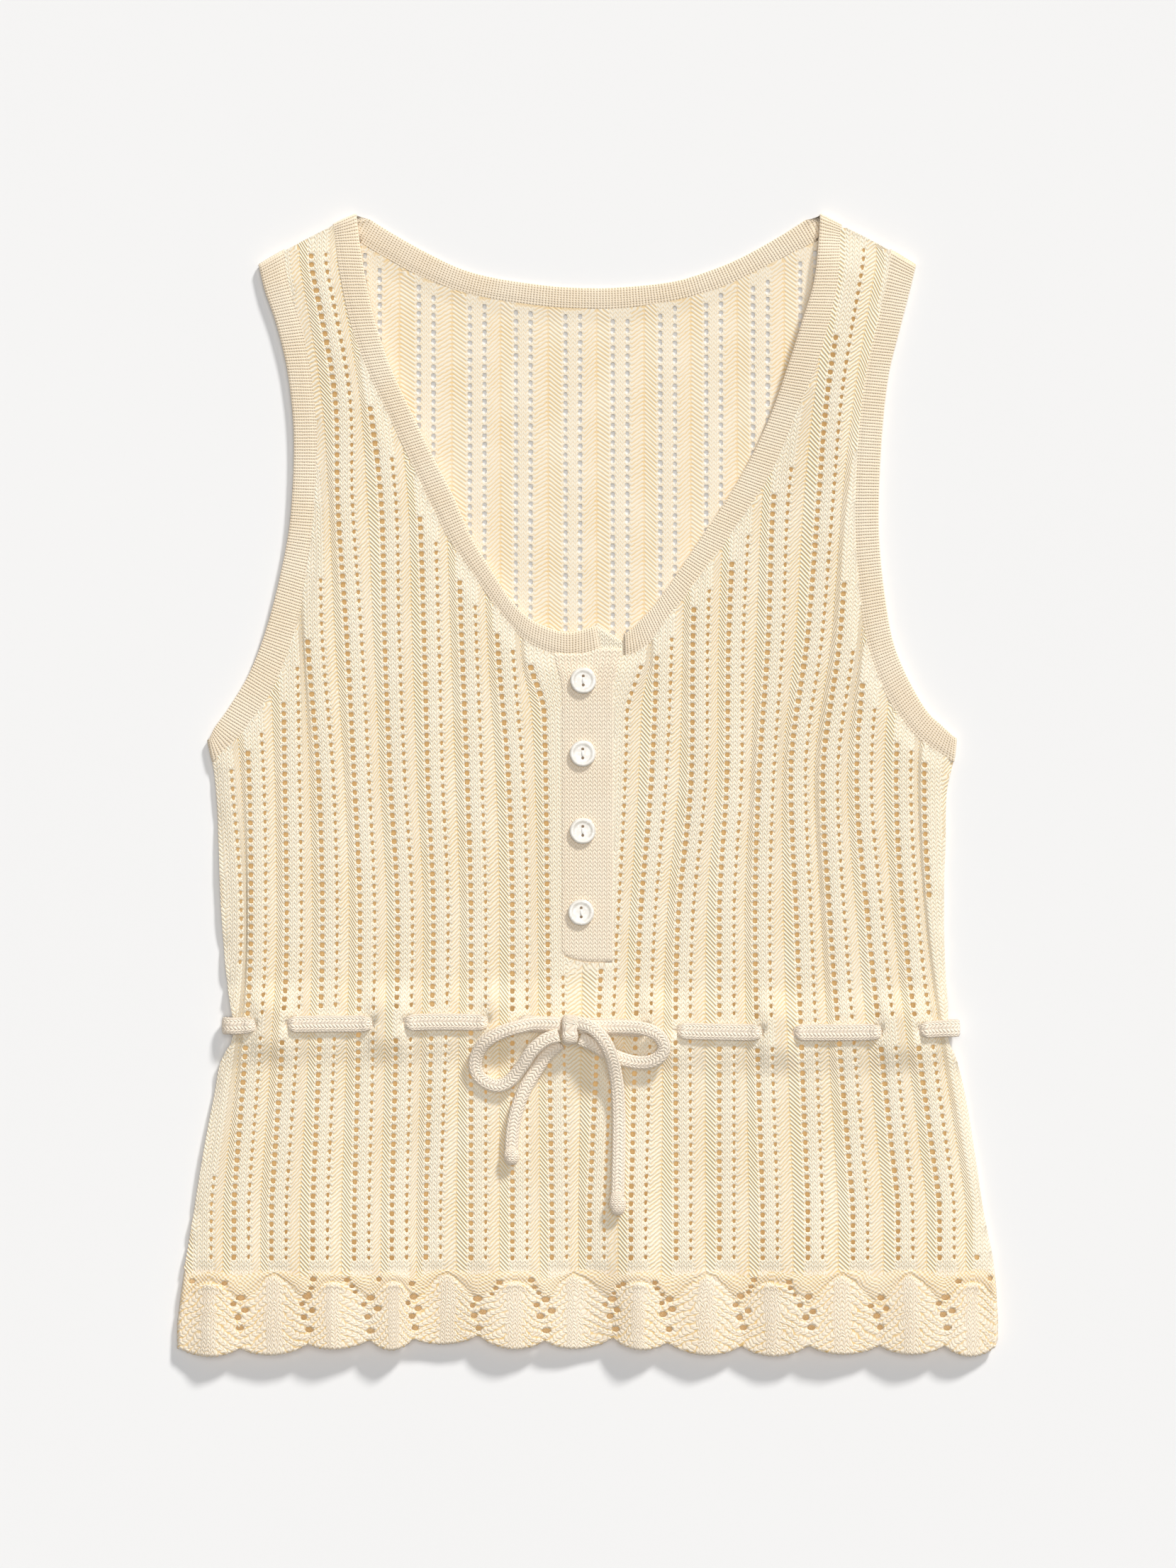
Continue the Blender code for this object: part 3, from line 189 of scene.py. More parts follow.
STRAP_LIFTS = ((124.0, 235.0, 24.0, 62.0, 2.4), (-124.0, 240.0, 22.0, 60.0, 0.9), (2.0, 70.0, 60.0, 34.0, 0.5))
HEM_FLUTES = (
    (-196, 3.2, 27.2, 80),
    (-141, 5.7, 30.7, 120),
    (-103, 4, 14.8, 110),
    (-48, 4.5, 21.6, 95),
    (-20, 2.4, 14.8, 70),
    (26, 5.3, 15.9, 150),
    (62, 3.8, 21.6, 95),
    (116, 5, 28.4, 125),
    (176, 4.4, 30.7, 105),
)
CORNER_LIFT = 1.8
FOLDS = (                   # soft ridges and troughs of the laid front: x, y, half width, half height, rise
    (62.0, 20.0, 9.0, 90.0, 0.7),
    (84.0, 30.0, 8.0, 80.0, -0.45),
    (-92.0, 40.0, 10.0, 70.0, 0.6),
    (-134.0, -30.0, 9.0, 90.0, 0.5),
    (134.0, -40.0, 10.0, 80.0, 0.55),
    (-150.0, -190.0, 8.0, 60.0, 0.6),
    (88.0, -200.0, 9.0, 60.0, 0.6),
    (-75.0, -190.0, 8.0, 55.0, 0.5),
    (150.0, 190.0, 6.0, 60.0, 0.4),
)
WAIST_Y = {
    "x": (-198.0, -158.0, -115.0, -75.0, -25.0, 12.0, 48.0, 92.0, 155.0, 198.0),
    "front": (-128.9, -127.6, -127.2, -126.3, -127.6, -129.0, -131.0, -131.9, -131.6, -129.4),
}
FRONT_SHOWS = ((-215.0, -177.6), (-158.7, -115.4), (-96.5, -53.9), (-36.2, 30.5), (48.3, 91.6), (110.5, 155.0),
               (177.0, 215.0))
BACK_SHOWS = ((-215.0, -171.0), (-152.0, -109.0), (-90.0, -47.0), (-28.0, 15.0), (34.0, 77.0), (96.0, 139.0),
              (158.0, 215.0))
RAMP = 7.0
SLOT = (2.2, 2.4)
SLOT_LIMIT = 180.0          # past this the drawstring goes round the side, not through the cloth
CORD_PINCH = 6.6
WAIST_ABOVE = 0.35          # how far above the cloth the waist's cord lies
SIDE_WRAPS = {"left": (-187.0, 6.4), "right": (189.6, 7.4)}

KNOT = (-9.4, -130.2)
LOOP_LEFT = {
    "x": (-14.4, -22.0, -30.2, -43.7, -54.7, -59.6, -57.7, -49.4, -41.8, -34.7, -29.4, -22.5, -15.2),
    "y": (-127.4, -127.2, -127.4, -130.8, -137.2, -147.0, -155.3, -160.2, -158.0, -149.5, -141.5, -135.6, -133.2),
    "lift": (2.9, 2.9, 2.9, 1.8, 0.5, 0.2, 0.2, 0.3, 0.8, 2.4, 4.0, 4.4, 4.4),
}
TAIL_LEFT = {
    "x": (-14.5, -21.6, -27.0, -32.4, -36.6, -39.2, -40.3, -40.4),
    "y": (-137.4, -143.6, -151.4, -160.2, -170.0, -180.0, -189.0, -195.0),
    "lift": (0.0, 0.0, 0.0, 0.0, 0.0, 0.0, 0.0, 0.0),
}
LOOP_RIGHT = {
    "x": (-4.3, 5.0, 12.0, 19.0, 26.0, 32.4, 37.8, 40.6, 38.6, 33.2, 26.2, 17.4, 9.0, 2.0, -4.3),
    "y": (-128.6, -128.7, -128.8, -128.9, -129.2, -130.4, -133.6, -138.9, -144.2, -147.3, -147.8, -145.6, -141.6,
          -137.6, -135.0),
    "lift": (3.2, 3.2, 3.2, 3.2, 3.2, 2.6, 1.6, 0.6, 0.2, 0.2, 0.2, 0.6, 1.8, 3.2, 3.4),
}
TAIL_RIGHT = {
    "x": (-8.0, -3.0, 3.0, 8.2, 12.2, 14.6, 16.0, 16.6, 16.5, 16.2, 16.0),
    "y": (-126.0, -127.0, -129.6, -135.0, -143.0, -153.0, -163.0, -176.4, -194.5, -208.0, -219.0),
    "lift": (3.4, 5.4, 7.0, 7.2, 6.0, 3.8, 1.6, 0.3, 0.0, 0.0, 0.0),
}
END_KNOTS = (("left", -40.4, -197.4, 4.2, 5.1), ("right", 15.9, -222.6, 4.5, 6.4))


# Curves and smooth steps

def step(value):
    """0 below 0, 1 above 1, smooth between."""
    t = np.clip(value, 0.0, 1.0)
    return t * t * (3.0 - 2.0 * t)


def smooth_line(xs, ys):
    """A smooth function through the rows of a table, with no overshoot between rows."""
    order = np.argsort(xs)
    x = np.array(xs, float)[order]
    y = np.array(ys, float)[order]
    run = np.diff(x)
    slope = np.diff(y) / run
    tangent = np.concatenate([slope[:1], (slope[1:] + slope[:-1]) / 2, slope[-1:]])
    flat = np.concatenate([[False], slope[1:] * slope[:-1] <= 0, [False]])
    tangent[flat] = 0.0

    def value(at):
        at = np.clip(at, x[0], x[-1])
        i = np.clip(np.searchsorted(x, at) - 1, 0, len(run) - 1)
        t = (at - x[i]) / run[i]
        a = (1 + 2 * t) * (1 - t) ** 2 * y[i] + t * (1 - t) ** 2 * run[i] * tangent[i]
        return a + t * t * (3 - 2 * t) * y[i + 1] - t * t * (1 - t) * run[i] * tangent[i + 1]

    return value


def curve(points, spacing):
    """Evenly spaced points on a smooth curve through the given ones, ends kept."""
    p = np.array(points, float)
    p = np.vstack([2 * p[0] - p[1], p, 2 * p[-1] - p[-2]])
    fine = []
    for a, b, c, d in zip(p[:-3], p[1:-2], p[2:-1], p[3:]):
        for t in np.arange(0.0, 1.0, 0.05):
            pull = (-a + 3 * b - 3 * c + d) * t ** 3 + (2 * a - 5 * b + 4 * c - d) * t ** 2 + (c - a) * t
            fine.append(b + 0.5 * pull)
    fine = np.array(fine + [p[-2]])
    along = np.concatenate([[0.0], np.cumsum(np.linalg.norm(np.diff(fine, axis=0), axis=1))])
    stops = np.linspace(0.0, along[-1], max(2, int(round(along[-1] / spacing)) + 1))
    return np.column_stack([np.interp(stops, along, fine[:, i]) for i in range(fine.shape[1])])


def table_points(table, *columns):
    return list(zip(*(table[name] for name in columns)))


def edge_line(table, edge, spacing):
    return curve(table_points(table, edge + "_x", edge + "_y"), spacing)


def distance_to(path, points):
    """Distance from each point to an open polyline, all in the plane."""
    path = np.asarray(path, float)
    points = np.asarray(points, float)
    best = np.full(len(points), 1e9)
    for a, b in zip(path[:-1], path[1:]):
        ab = b - a
        t = np.clip(((points - a) @ ab) / max(ab @ ab, 1e-9), 0.0, 1.0)
        best = np.minimum(best, np.linalg.norm(points - a - t[:, None] * ab, axis=1))
    return best


def nearest(paths, x, y):
    """Distance from each place to the nearest of some polylines, in the shape of x."""
    points = np.column_stack([x.ravel(), y.ravel()])
    return np.min([distance_to(path, points) for path in paths], axis=0).reshape(x.shape)


def inside(loop, points):
    """Which points lie inside a closed loop, by the even-odd rule."""
    loop = np.asarray(loop, float)
    points = np.asarray(points, float)
    hit = np.zeros(len(points), bool)
    for a, b in zip(loop, np.roll(loop, -1, axis=0)):
        crosses = (a[1] > points[:, 1]) != (b[1] > points[:, 1])
        rise = b[1] - a[1] if abs(b[1] - a[1]) > 1e-9 else 1e-9
        hit ^= crosses & (points[:, 0] < (b[0] - a[0]) * (points[:, 1] - a[1]) / rise + a[0])
    return hit


left_side = smooth_line(SIDES["y"], SIDES["left"])
right_side = smooth_line(SIDES["y"], SIDES["right"])
waist_y = smooth_line(WAIST_Y["x"], WAIST_Y["front"])
rib_lines = [smooth_line(RIB_Y, row) for row in RIB_X]

SHOULDERS = ([(-176.0, 275.0), (-123.0, 304.0)], [(123.6, 304.0), (176.0, 275.0)])
SHOULDER_MID = (148.0, 290.8)
SHOULDER_NECK = (134.8, 296.4)
DOWN = np.linspace(12.4, -340.0, 30)
SEALED = tuple(np.vstack([edge_line(table, "free", 8.0), np.column_stack([side(DOWN), DOWN])])
               for table, side in ((ARMBAND_LEFT, left_side), (ARMBAND_RIGHT, right_side)))
ARM_SEAMS = tuple(edge_line(table, "seam", 6.0) for table in (ARMBAND_LEFT, ARMBAND_RIGHT))
NECK_SEAMS = tuple(edge_line(table, "seam", 6.0) for table in (NECK_LEFT, NECK_RIGHT))
BACK_SEAM = edge_line(NECK_BACK, "seam", 6.0)
FOLD_LINES = (*SEALED, *SHOULDERS)      # the side seams, armholes and shoulders, where front and back join
FRONT_SEAMS = (*SEALED, *ARM_SEAMS, *NECK_SEAMS, *SHOULDERS)
foot_line = smooth_line(PLACKET_FOOT["x"], PLACKET_FOOT["y"])


# Heights of the layers

def swollen(z, rows, x, y):
    """Heights with a table's soft bumps added."""
    for mid_x, mid_y, half_x, half_y, rise in rows:
        z = z + rise * np.exp(-((x - mid_x) / half_x) ** 2 - ((y - mid_y) / half_y) ** 2)
    return z


def shows(stretches, x, ramp=RAMP):
    """1 where the drawstring lies outside the cloth, 0 where it is inside."""
    total = 0.0
    for start, end in stretches:
        total = total + step((x - start) / ramp + 0.5) * (1.0 - step((x - end) / ramp + 0.5))
    return np.clip(total, 0.0, 1.0)


def at_waist(x, y):
    """1 along the drawstring, falling to 0 above and below it."""
    return 1.0 - step((np.abs(y - waist_y(x)) - 6.5) / 18.0)


def back_low(x, y):
    corner = step((np.abs(x) - 165.0) / 60.0) * step((-235.0 - y) / 70.0)
    return (CORD_THICK + GAP) * at_waist(x, y) * shows(BACK_SHOWS, x) + CORNER_LIFT * corner


def front_low(x, y):
    """The inside of the front layer: on the back panel at the seams, lifted between them."""
    x = np.asarray(x, float)
    y = np.asarray(y, float)
    lift = swollen(np.full(x.shape, AIR), STRAP_LIFTS, x, y)
    for mid, height, half, reach in HEM_FLUTES:
        lift = lift + height * np.exp(-((x - mid) / half) ** 2) * step((-300.0 + reach - y) / reach)
    free = step((nearest(FOLD_LINES, x, y) - 2.0) / 20.0)
    cord = (CORD_THICK + GAP) * at_waist(x, y)
    inner_cords = (1.0 - shows(BACK_SHOWS, x)) + (1.0 - shows(FRONT_SHOWS, x))
    return back_low(x, y) + WALL + GAP + lift * free + cord * inner_cords


def rolled(depth, radius):
    """How far the cloth's face drops this near to an edge that rolls over."""
    t = np.clip(1.0 - depth / radius, 0.0, 1.0)
    return radius * (1.0 - np.sqrt(1.0 - 0.96 * t * t))


# Outlines

def hem_points():
    """The scalloped hem from left to right."""
    points = [(-218.4, -290.0), (-218.3, -295.0), (-217.0, -300.5)]
    left = (-217.0, -300.5)
    for mid, bottom, notch_x, notch_y in SCALLOPS:
        for t in (0.17, 0.36, 0.5, 0.64, 0.83, 1.0):
            x = left[0] + (notch_x - left[0]) * t
            chord = left[1] + (notch_y - left[1]) * t
            dip = (bottom - (left[1] + notch_y) / 2) * math.sin(math.pi * t) ** 0.7 if t < 1 else 0.0
            points.append((x, chord + dip))
        left = (notch_x, notch_y)
    return points + [(218.0, -296.0), (218.4, -290.0)]


HEM = np.array(hem_points())


def hem_y(x):
    return np.interp(x, HEM[2:-1, 0], HEM[2:-1, 1])


def as_points(path):
    return [tuple(p) for p in path]


def both_sides(point):
    """A point and its mirror image on the left."""
    return point, (-point[0], point[1])


def sides_outline():
    """Both panels' outline below the shoulders, from the left armhole's top, down, along the hem and up."""
    down = np.linspace(SIDES["y"][0], -284.0, 60)
    left = [(float(left_side(y)), y) for y in down]
    right = [(float(right_side(y)), y) for y in down[::-1]]
    return as_points(ARM_SEAMS[0]) + left + as_points(HEM) + right + as_points(ARM_SEAMS[1][::-1])


def front_outline():
    half = PLACKET_HALF
    left = [tuple(p) for p in NECK_SEAMS[0] if p[0] < -half - 0.4]
    right = [tuple(p) for p in NECK_SEAMS[1][::-1] if p[0] > half + 0.4]
    notch = [(-half, y) for y in np.linspace(left[-1][1], foot_line(-half), 40)]
    notch += [(x, float(foot_line(x))) for x in np.linspace(-half, half, 12)[1:-1]]
    notch += [(half, y) for y in np.linspace(foot_line(half), right[0][1], 40)]
    mid_right, mid_left = both_sides(SHOULDER_MID)
    return np.array(sides_outline() + [mid_right] + right[::-1] + notch[::-1] + left[::-1] + [mid_left])


def back_outline():
    mid_right, mid_left = both_sides(SHOULDER_MID)
    neck_right, neck_left = both_sides(SHOULDER_NECK)
    return np.array(sides_outline() + [mid_right, neck_right] + as_points(BACK_SEAM[::-1]) + [neck_left, mid_left])


# Materials

class Dye:
    """A Principled material and short calls to wire its nodes."""

    def __init__(self, name, roughness, sheen=0.0):
        self.mat = bpy.data.materials.new(name)
        self.mat.use_nodes = True
        self.tree = self.mat.node_tree
        self.shader = self.tree.nodes["Principled BSDF"]
        for socket, value in (("Roughness", roughness), ("Sheen Weight", sheen), ("Sheen Roughness", 0.5),
                              ("Specular IOR Level", 0.25)):
            self.shader.inputs[socket].default_value = value

    def put(self, value, socket):
        if isinstance(value, bpy.types.NodeSocket):
            self.tree.links.new(value, socket)
        else:
            socket.default_value = (*value, 1.0) if isinstance(value, tuple) else value

    def calc(self, operation, a, b=None, c=None):
        node = self.tree.nodes.new("ShaderNodeMath")
        node.operation = operation
        for i, value in enumerate((a, b, c)):
            if value is not None:
                self.put(value, node.inputs[i])
        return node.outputs[0]

    def times(self, a, b):
        return self.calc("MULTIPLY", a, b)

    def minus(self, a, b):
        return self.calc("SUBTRACT", a, b)

    def line(self, a, slope, start):
        return self.calc("MULTIPLY_ADD", a, slope, start)

    def sine(self, a):
        return self.calc("SINE", a)

    def ramp(self, value, low, high, to_low=0.0, to_high=1.0):
        node = self.tree.nodes.new("ShaderNodeMapRange")
        node.interpolation_type = "SMOOTHSTEP"
        self.put(value, node.inputs["Value"])
        for name, number in (("From Min", low), ("From Max", high), ("To Min", to_low), ("To Max", to_high)):
            node.inputs[name].default_value = number
        return node.outputs["Result"]

    def mix(self, share, low, high):
        """Plain numbers blended: low at 0, high at 1."""
        return self.line(share, self.minus(high, low), low)

    def tint(self, share, low, high):
        """Colours blended: low at 0, high at 1."""
        node = self.tree.nodes.new("ShaderNodeMix")
        node.data_type = "RGBA"
        self.put(share, node.inputs["Factor"])
        for i, value in ((6, low), (7, high)):
            self.put(value, node.inputs[i])
        return node.outputs[2]

    def noise(self, scale, detail=2.0):
        node = self.tree.nodes.new("ShaderNodeTexNoise")
        node.inputs["Scale"].default_value = scale
        node.inputs["Detail"].default_value = detail
        coords = self.tree.nodes.new("ShaderNodeTexCoord")
        self.tree.links.new(coords.outputs["Object"], node.inputs["Vector"])
        return node.outputs["Fac"]

    def stitches(self, unevenness=0.26):
        """u counts wales across, v counts courses up, from the piece's own map, with the hand of the knitting."""
        node = self.tree.nodes.new("ShaderNodeUVMap")
        node.uv_map = "stitches"
        parts = self.tree.nodes.new("ShaderNodeSeparateXYZ")
        self.tree.links.new(node.outputs[0], parts.inputs[0])
        pull = self.line(self.noise(480.0, 0.0), unevenness, -unevenness / 2)
        u = self.line(pull, -0.6, parts.outputs[0])
        return u, self.calc("ADD", parts.outputs[1], pull)

    def attribute(self, name):
        node = self.tree.nodes.new("ShaderNodeAttribute")
        node.attribute_name = name
        return node.outputs["Fac"]

    def finish(self, color, height, depth, strength=1.0, glow=None, through=0.0):
        """through: the strength of a painted glow, an emission in the colour glow; it stands in for light coming
        through the cloth from behind.
        """
        self.put(color, self.shader.inputs["Base Color"])
        if glow is not None:
            self.put(glow, self.shader.inputs["Emission Color"])
            self.put(through, self.shader.inputs["Emission Strength"])
        bump = self.tree.nodes.new("ShaderNodeBump")
        bump.inputs["Strength"].default_value = strength
        bump.inputs["Distance"].default_value = depth * MM
        self.put(height, bump.inputs["Height"])
        self.tree.links.new(bump.outputs[0], self.shader.inputs["Normal"])
        return self.mat


def vee_height(dye, u, v, lean=1.5):
    """Knit stitches: in each wale two legs that open upwards, row on row."""
    across = dye.calc("ABSOLUTE", dye.minus(dye.calc("FRACT", u), 0.5))
    leg = dye.minus(1.0, dye.calc("ABSOLUTE", dye.line(across, 4.0, -1.0)))
    phase = dye.calc("FRACT", dye.line(across, -lean, v))
    strand = dye.sine(dye.times(phase, math.pi))
    body = dye.line(dye.calc("POWER", leg, 0.6), 0.6, 0.4)
    return dye.times(dye.calc("POWER", strand, 0.7), body)


def fuzz(dye, height, share=0.25):
    """Fine fibre noise laid over the stitches."""
    return dye.line(dye.noise(2600.0, 1.0), share, height)


YARN = (0.858, 0.77, 0.61)
# painted shade between the stitches
YARN_PAINTED_GAP_SHADE = (0.765, 0.53, 0.235)
YARN_PALE = (0.915, 0.83, 0.69)
YARN_SHADED = (0.815, 0.73, 0.585)      # the inside of the back
# painted glow seen through the front's holes
YARN_PAINTED_GLOW = (0.86, 0.59, 0.265)
COVERED_PAINTED_SHADE = (0.675, 0.48, 0.235)     # painted shade on the back where the front covers it
YARN_BAND = (0.835, 0.70, 0.525)
YARN_LACE = (0.85, 0.735, 0.58)
YARN_PLACKET = (0.88, 0.75, 0.585)
YARN_CORD = (0.90, 0.78, 0.635)
LACE_SHADED = ((0.70, 0.52, 0.31), (0.55, 0.36, 0.17))


def yarn_with_painted_shade(dye, height, light, gap_shade, low=0.0, high=0.55):
    """Paler on the stitches' tops and warmer and darker between them, as painted light and shade, with faint cloudy
    variation.
    """
    shaded = dye.tint(dye.ramp(height, low, high), gap_shade, light)
    return dye.tint(dye.ramp(dye.noise(38.0, 1.0), 0.35, 0.75, 0.0, 0.25), shaded, YARN_PALE)


def rib_pattern(dye, u, v, plain=None):
    """Two upright wales on each rib, slanted stitches leaning to the valleys between, and a dotted valley.

    Returns how light each spot is painted, with painted shade between stitches, on one flank of each valley and in the
    valley's dots, and how high it stands.
    """
    column = dye.times(dye.calc("FRACT", dye.times(u, 0.125)), 8.0)
    away = dye.calc("MINIMUM", column, dye.minus(8.0, column))
    upright = vee_height(dye, u, v)
    # right_half: this flank of each valley is painted darker and with more contrast, as painted shade from light
    # falling from the right; its stronger slant also goes into the bump.
    right_half = dye.ramp(column, 3.9, 4.1, 1.0, 0.0)
    slant = dye.sine(dye.times(dye.line(away, 1.25, v), 2 * math.pi))
    slant = dye.line(slant, dye.mix(right_half, 0.40, 0.46), 0.5)
    upright_share = dye.ramp(away, 1.75, 2.0)
    # dots: dark dots along the valley, painted shade in the colour and a smaller dip in the bump.
    dots = dye.times(dye.ramp(away, 0.0, 0.3, 1.0, 0.0),
                    dye.line(dye.sine(dye.times(v, 2 * math.pi)), 0.6, 0.4))
    if plain is not None:
        upright_share = dye.calc("MAXIMUM", upright_share, plain)
        dots = dye.times(dots, dye.minus(1.0, plain))
    height = dye.mix(upright_share, slant, upright)
    usual = dye.mix(upright_share, dye.mix(right_half, 0.70, 0.77), 0.55)
    light = dye.minus(dye.calc("DIVIDE", height, usual), dots)
    height = dye.times(height, dye.mix(upright_share, 1.0, 0.8))
    return light, dye.minus(height, dye.times(dots, 0.5))


def pointelle_yarn(name, under=False):
    dye = Dye(name, 0.86, 0.2)
    u, v = dye.stitches()
    light, height = rib_pattern(dye, u, v, dye.attribute("plain"))
    color = yarn_with_painted_shade(dye, light, YARN_SHADED if under else YARN, YARN_PAINTED_GAP_SHADE, -0.15, 0.92)
    if not under:
        # Painted glow: the cloth's own colour emitted at strength 0.09.
        return dye.finish(color, fuzz(dye, height), 0.40, 1.0, color, 0.09)
    # Where the front covers the back: a darker, warmer painted shade and a stronger painted glow.
    covered = dye.attribute("covered")
    color = dye.tint(covered, color, COVERED_PAINTED_SHADE)
    glow = dye.tint(covered, color, YARN_PAINTED_GLOW)
    return dye.finish(color, fuzz(dye, height), 0.15, 1.0, glow, dye.line(covered, 0.16, 0.09))


def plain_yarn(name="plain_knit", depth=0.5, light=YARN, low=-0.1, high=0.45):
    dye = Dye(name, 0.86, 0.2)
    u, v = dye.stitches()
    height = vee_height(dye, u, v)
    color = yarn_with_painted_shade(dye, height, light, YARN_PAINTED_GAP_SHADE, low, high)
    # Painted glow: the cloth's own colour emitted at strength 0.07.
    return dye.finish(color, fuzz(dye, height), depth, 1.0, color, 0.07)


def band_yarn():
    """Fine ribs across the band, each a chain of small stitches, dotted between."""
    dye = Dye("fine_rib", 0.86, 0.2)
    u, v = dye.stitches()
    ridge = dye.calc("ABSOLUTE", dye.sine(dye.times(u, math.pi)))
    bead = dye.sine(dye.times(v, 2 * math.pi))
    groove = dye.minus(1.0, ridge)
    height = dye.line(dye.times(bead, groove), 0.5, dye.calc("POWER", ridge, 0.6))
    color = yarn_with_painted_shade(dye, height, YARN_BAND, YARN_PAINTED_GAP_SHADE, -0.35, 0.75)
    # Painted glow: the band's colour emitted at strength 0.05.
    return dye.finish(color, fuzz(dye, height, 0.2), 0.35, 1.0, color, 0.05)


def lace_yarn():
    """The border's stitches: bumpy swags above, and below them a trunk with ribs that slant down from it.

    The piece's map gives the distance from the trunk and the depth below the border's top, in millimetres.
    """
    dye = Dye("lace_knit", 0.86, 0.2)
    a, d = dye.stitches(0.5)
    pull = dye.line(dye.noise(110.0, 1.0), 4.4, -2.2)
    a = dye.calc("ABSOLUTE", dye.calc("ADD", a, pull))
    d = dye.line(pull, -0.7, d)
    q = dye.times(a, 1 / FAN_HALF)
    pointed, arched = (dye.line(dye.calc("POWER", q, power), drop, start)
                       for start, drop, power in (POINTED_SWAG, ARCHED_SWAG))
    below = dye.minus(d, dye.mix(dye.attribute("arch"), pointed, arched))
    in_fan = dye.ramp(below, -0.4, 0.4)
    trunk = dye.ramp(a, 3.5, 4.1, 1.0, 0.0)
    side_u = dye.times(dye.minus(d, a), 0.707 / LACE_STRAND)
    side_v = dye.times(dye.calc("ADD", d, a), -0.707 / 2.6)
    rib = dye.calc("ABSOLUTE", dye.sine(dye.times(side_u, math.pi)))
    side = dye.times(vee_height(dye, side_u, side_v, 1.0), dye.line(rib, 0.8, 0.3))
    upright = vee_height(dye, dye.times(a, 1 / 2.3), dye.times(d, -1 / 2.2))
    fan = dye.mix(trunk, side, upright)
    across = dye.sine(dye.times(a, 2 * math.pi / 2.4))
    rows = dye.sine(dye.times(d, 2 * math.pi / 2.2))
    purl = dye.line(dye.times(across, rows), 0.5, 0.5)
    height = dye.mix(in_fan, dye.line(purl, 0.95, 0.0), fan)
    # crease: a dip where the fans meet the swags, carried into the colour as painted shade.
    crease = dye.ramp(dye.calc("ABSOLUTE", below), 0.1, 1.0, 1.0, 0.0)
    height = dye.minus(height, dye.times(crease, 0.25))
    light = dye.calc("DIVIDE", height, dye.mix(in_fan, 0.95, 0.5))
    # gaps: painted shade between the slanted strands, made uneven by noise.
    gaps = dye.times(dye.ramp(rib, 0.0, 0.4, 1.0, 0.0),
                    dye.line(dye.sine(dye.times(side_v, math.pi)), 0.6, 0.5))
    gaps = dye.times(dye.times(gaps, dye.minus(1.0, trunk)), in_fan)
    gaps = dye.times(gaps, dye.ramp(dye.noise(260.0, 1.0), 0.38, 0.6, 0.4, 1.7))
    light = dye.minus(light, gaps)
    courses = (-1 / COURSE, LACE_TOP / COURSE)
    ribs, rib_height = rib_pattern(dye, dye.attribute("wale"), dye.line(d, *courses))
    start = dye.line(dye.noise(55.0, 1.0), 7.0, dye.line(q, 3.0, -3.0))
    border = dye.ramp(dye.minus(d, start), -0.3, 0.5)
    light = dye.mix(border, ribs, light)
    height = dye.mix(border, rib_height, height)
    color = yarn_with_painted_shade(dye, light, YARN_LACE, YARN_PAINTED_GAP_SHADE, -0.1, 0.95)
    # Painted glow: the lace's colour emitted at strength 0.08.
    return dye.finish(color, fuzz(dye, height, 0.4), 0.34, 1.0, color, 0.08)


def lace_inside():
    """The side of the back's border that only shows through the front's holes."""
    dye = Dye("lace_inside", 0.86, 0.2)
    a, d = dye.stitches()
    height = vee_height(dye, dye.times(a, 1 / 2.3), dye.times(d, 1 / 2.2))
    # Painted shade in LACE_SHADED's dark colours, and a painted glow of strength 0.26.
    color = yarn_with_painted_shade(dye, height, *LACE_SHADED)
    return dye.finish(color, height, 0.3, 1.0, YARN_PAINTED_GLOW, 0.26)


def pearl():
    dye = Dye("pearl", 0.22)
    dye.shader.inputs["Specular IOR Level"].default_value = 0.6
    dye.shader.inputs["Coat Weight"].default_value = 0.4
    dye.shader.inputs["Coat Roughness"].default_value = 0.12
    clouds = dye.noise(260.0, 3.0)
    flecks = dye.noise(750.0, 2.0)
    color = dye.tint(dye.ramp(clouds, 0.42, 0.6), (0.75, 0.705, 0.62), (0.84, 0.80, 0.725))
    color = dye.tint(dye.ramp(flecks, 0.58, 0.68, 0.0, 0.7), color, (0.93, 0.905, 0.86))
    return dye.finish(color, clouds, 0.01, 0.3)


def thread():
    dye = Dye("button_thread", 0.7)
    return dye.finish((0.90, 0.88, 0.82), dye.noise(2200.0, 2.0), 0.1)


def shade():
    # A dark material of painted shade, for the buttons' holes.
    dye = Dye("deep_shade", 0.9)
    return dye.finish((0.28, 0.20, 0.13), dye.noise(900.0), 0.05)


# Making pieces

def laid_grid(places, marks, **shares):
    """A grid laid on places[row, column] in mm, rows running up and columns across, with its stitch map."""
    rows, columns = places.shape[0] - 1, places.shape[1] - 1
    bm = bmesh.new()
    bmesh.ops.create_grid(bm, x_segments=columns, y_segments=rows, size=0.5)
    stitch = bm.loops.layers.uv.new("stitches")
    layers = {name: bm.verts.layers.float.new(name) for name in shares}
    at = {}
    for v in bm.verts:
        at[v] = (round((v.co.y + 0.5) * rows), round((v.co.x + 0.5) * columns))
    for face in bm.faces:
        for loop in face.loops:
            loop[stitch].uv = marks[at[loop.vert]]
    for v, where in at.items():
        v.co = places[where] * MM
        for name, layer in layers.items():
            v[layer] = float(shares[name][where])
    return bm


def crisp(bm, y=None):
    """Keeps the cut edges sharp, or only those at height y, where the next piece carries on."""
    for e in bm.edges:
        if e.is_boundary and (y is None or all(abs(v.co.y - y * MM) < 1e-5 for v in e.verts)):
            e.smooth = False


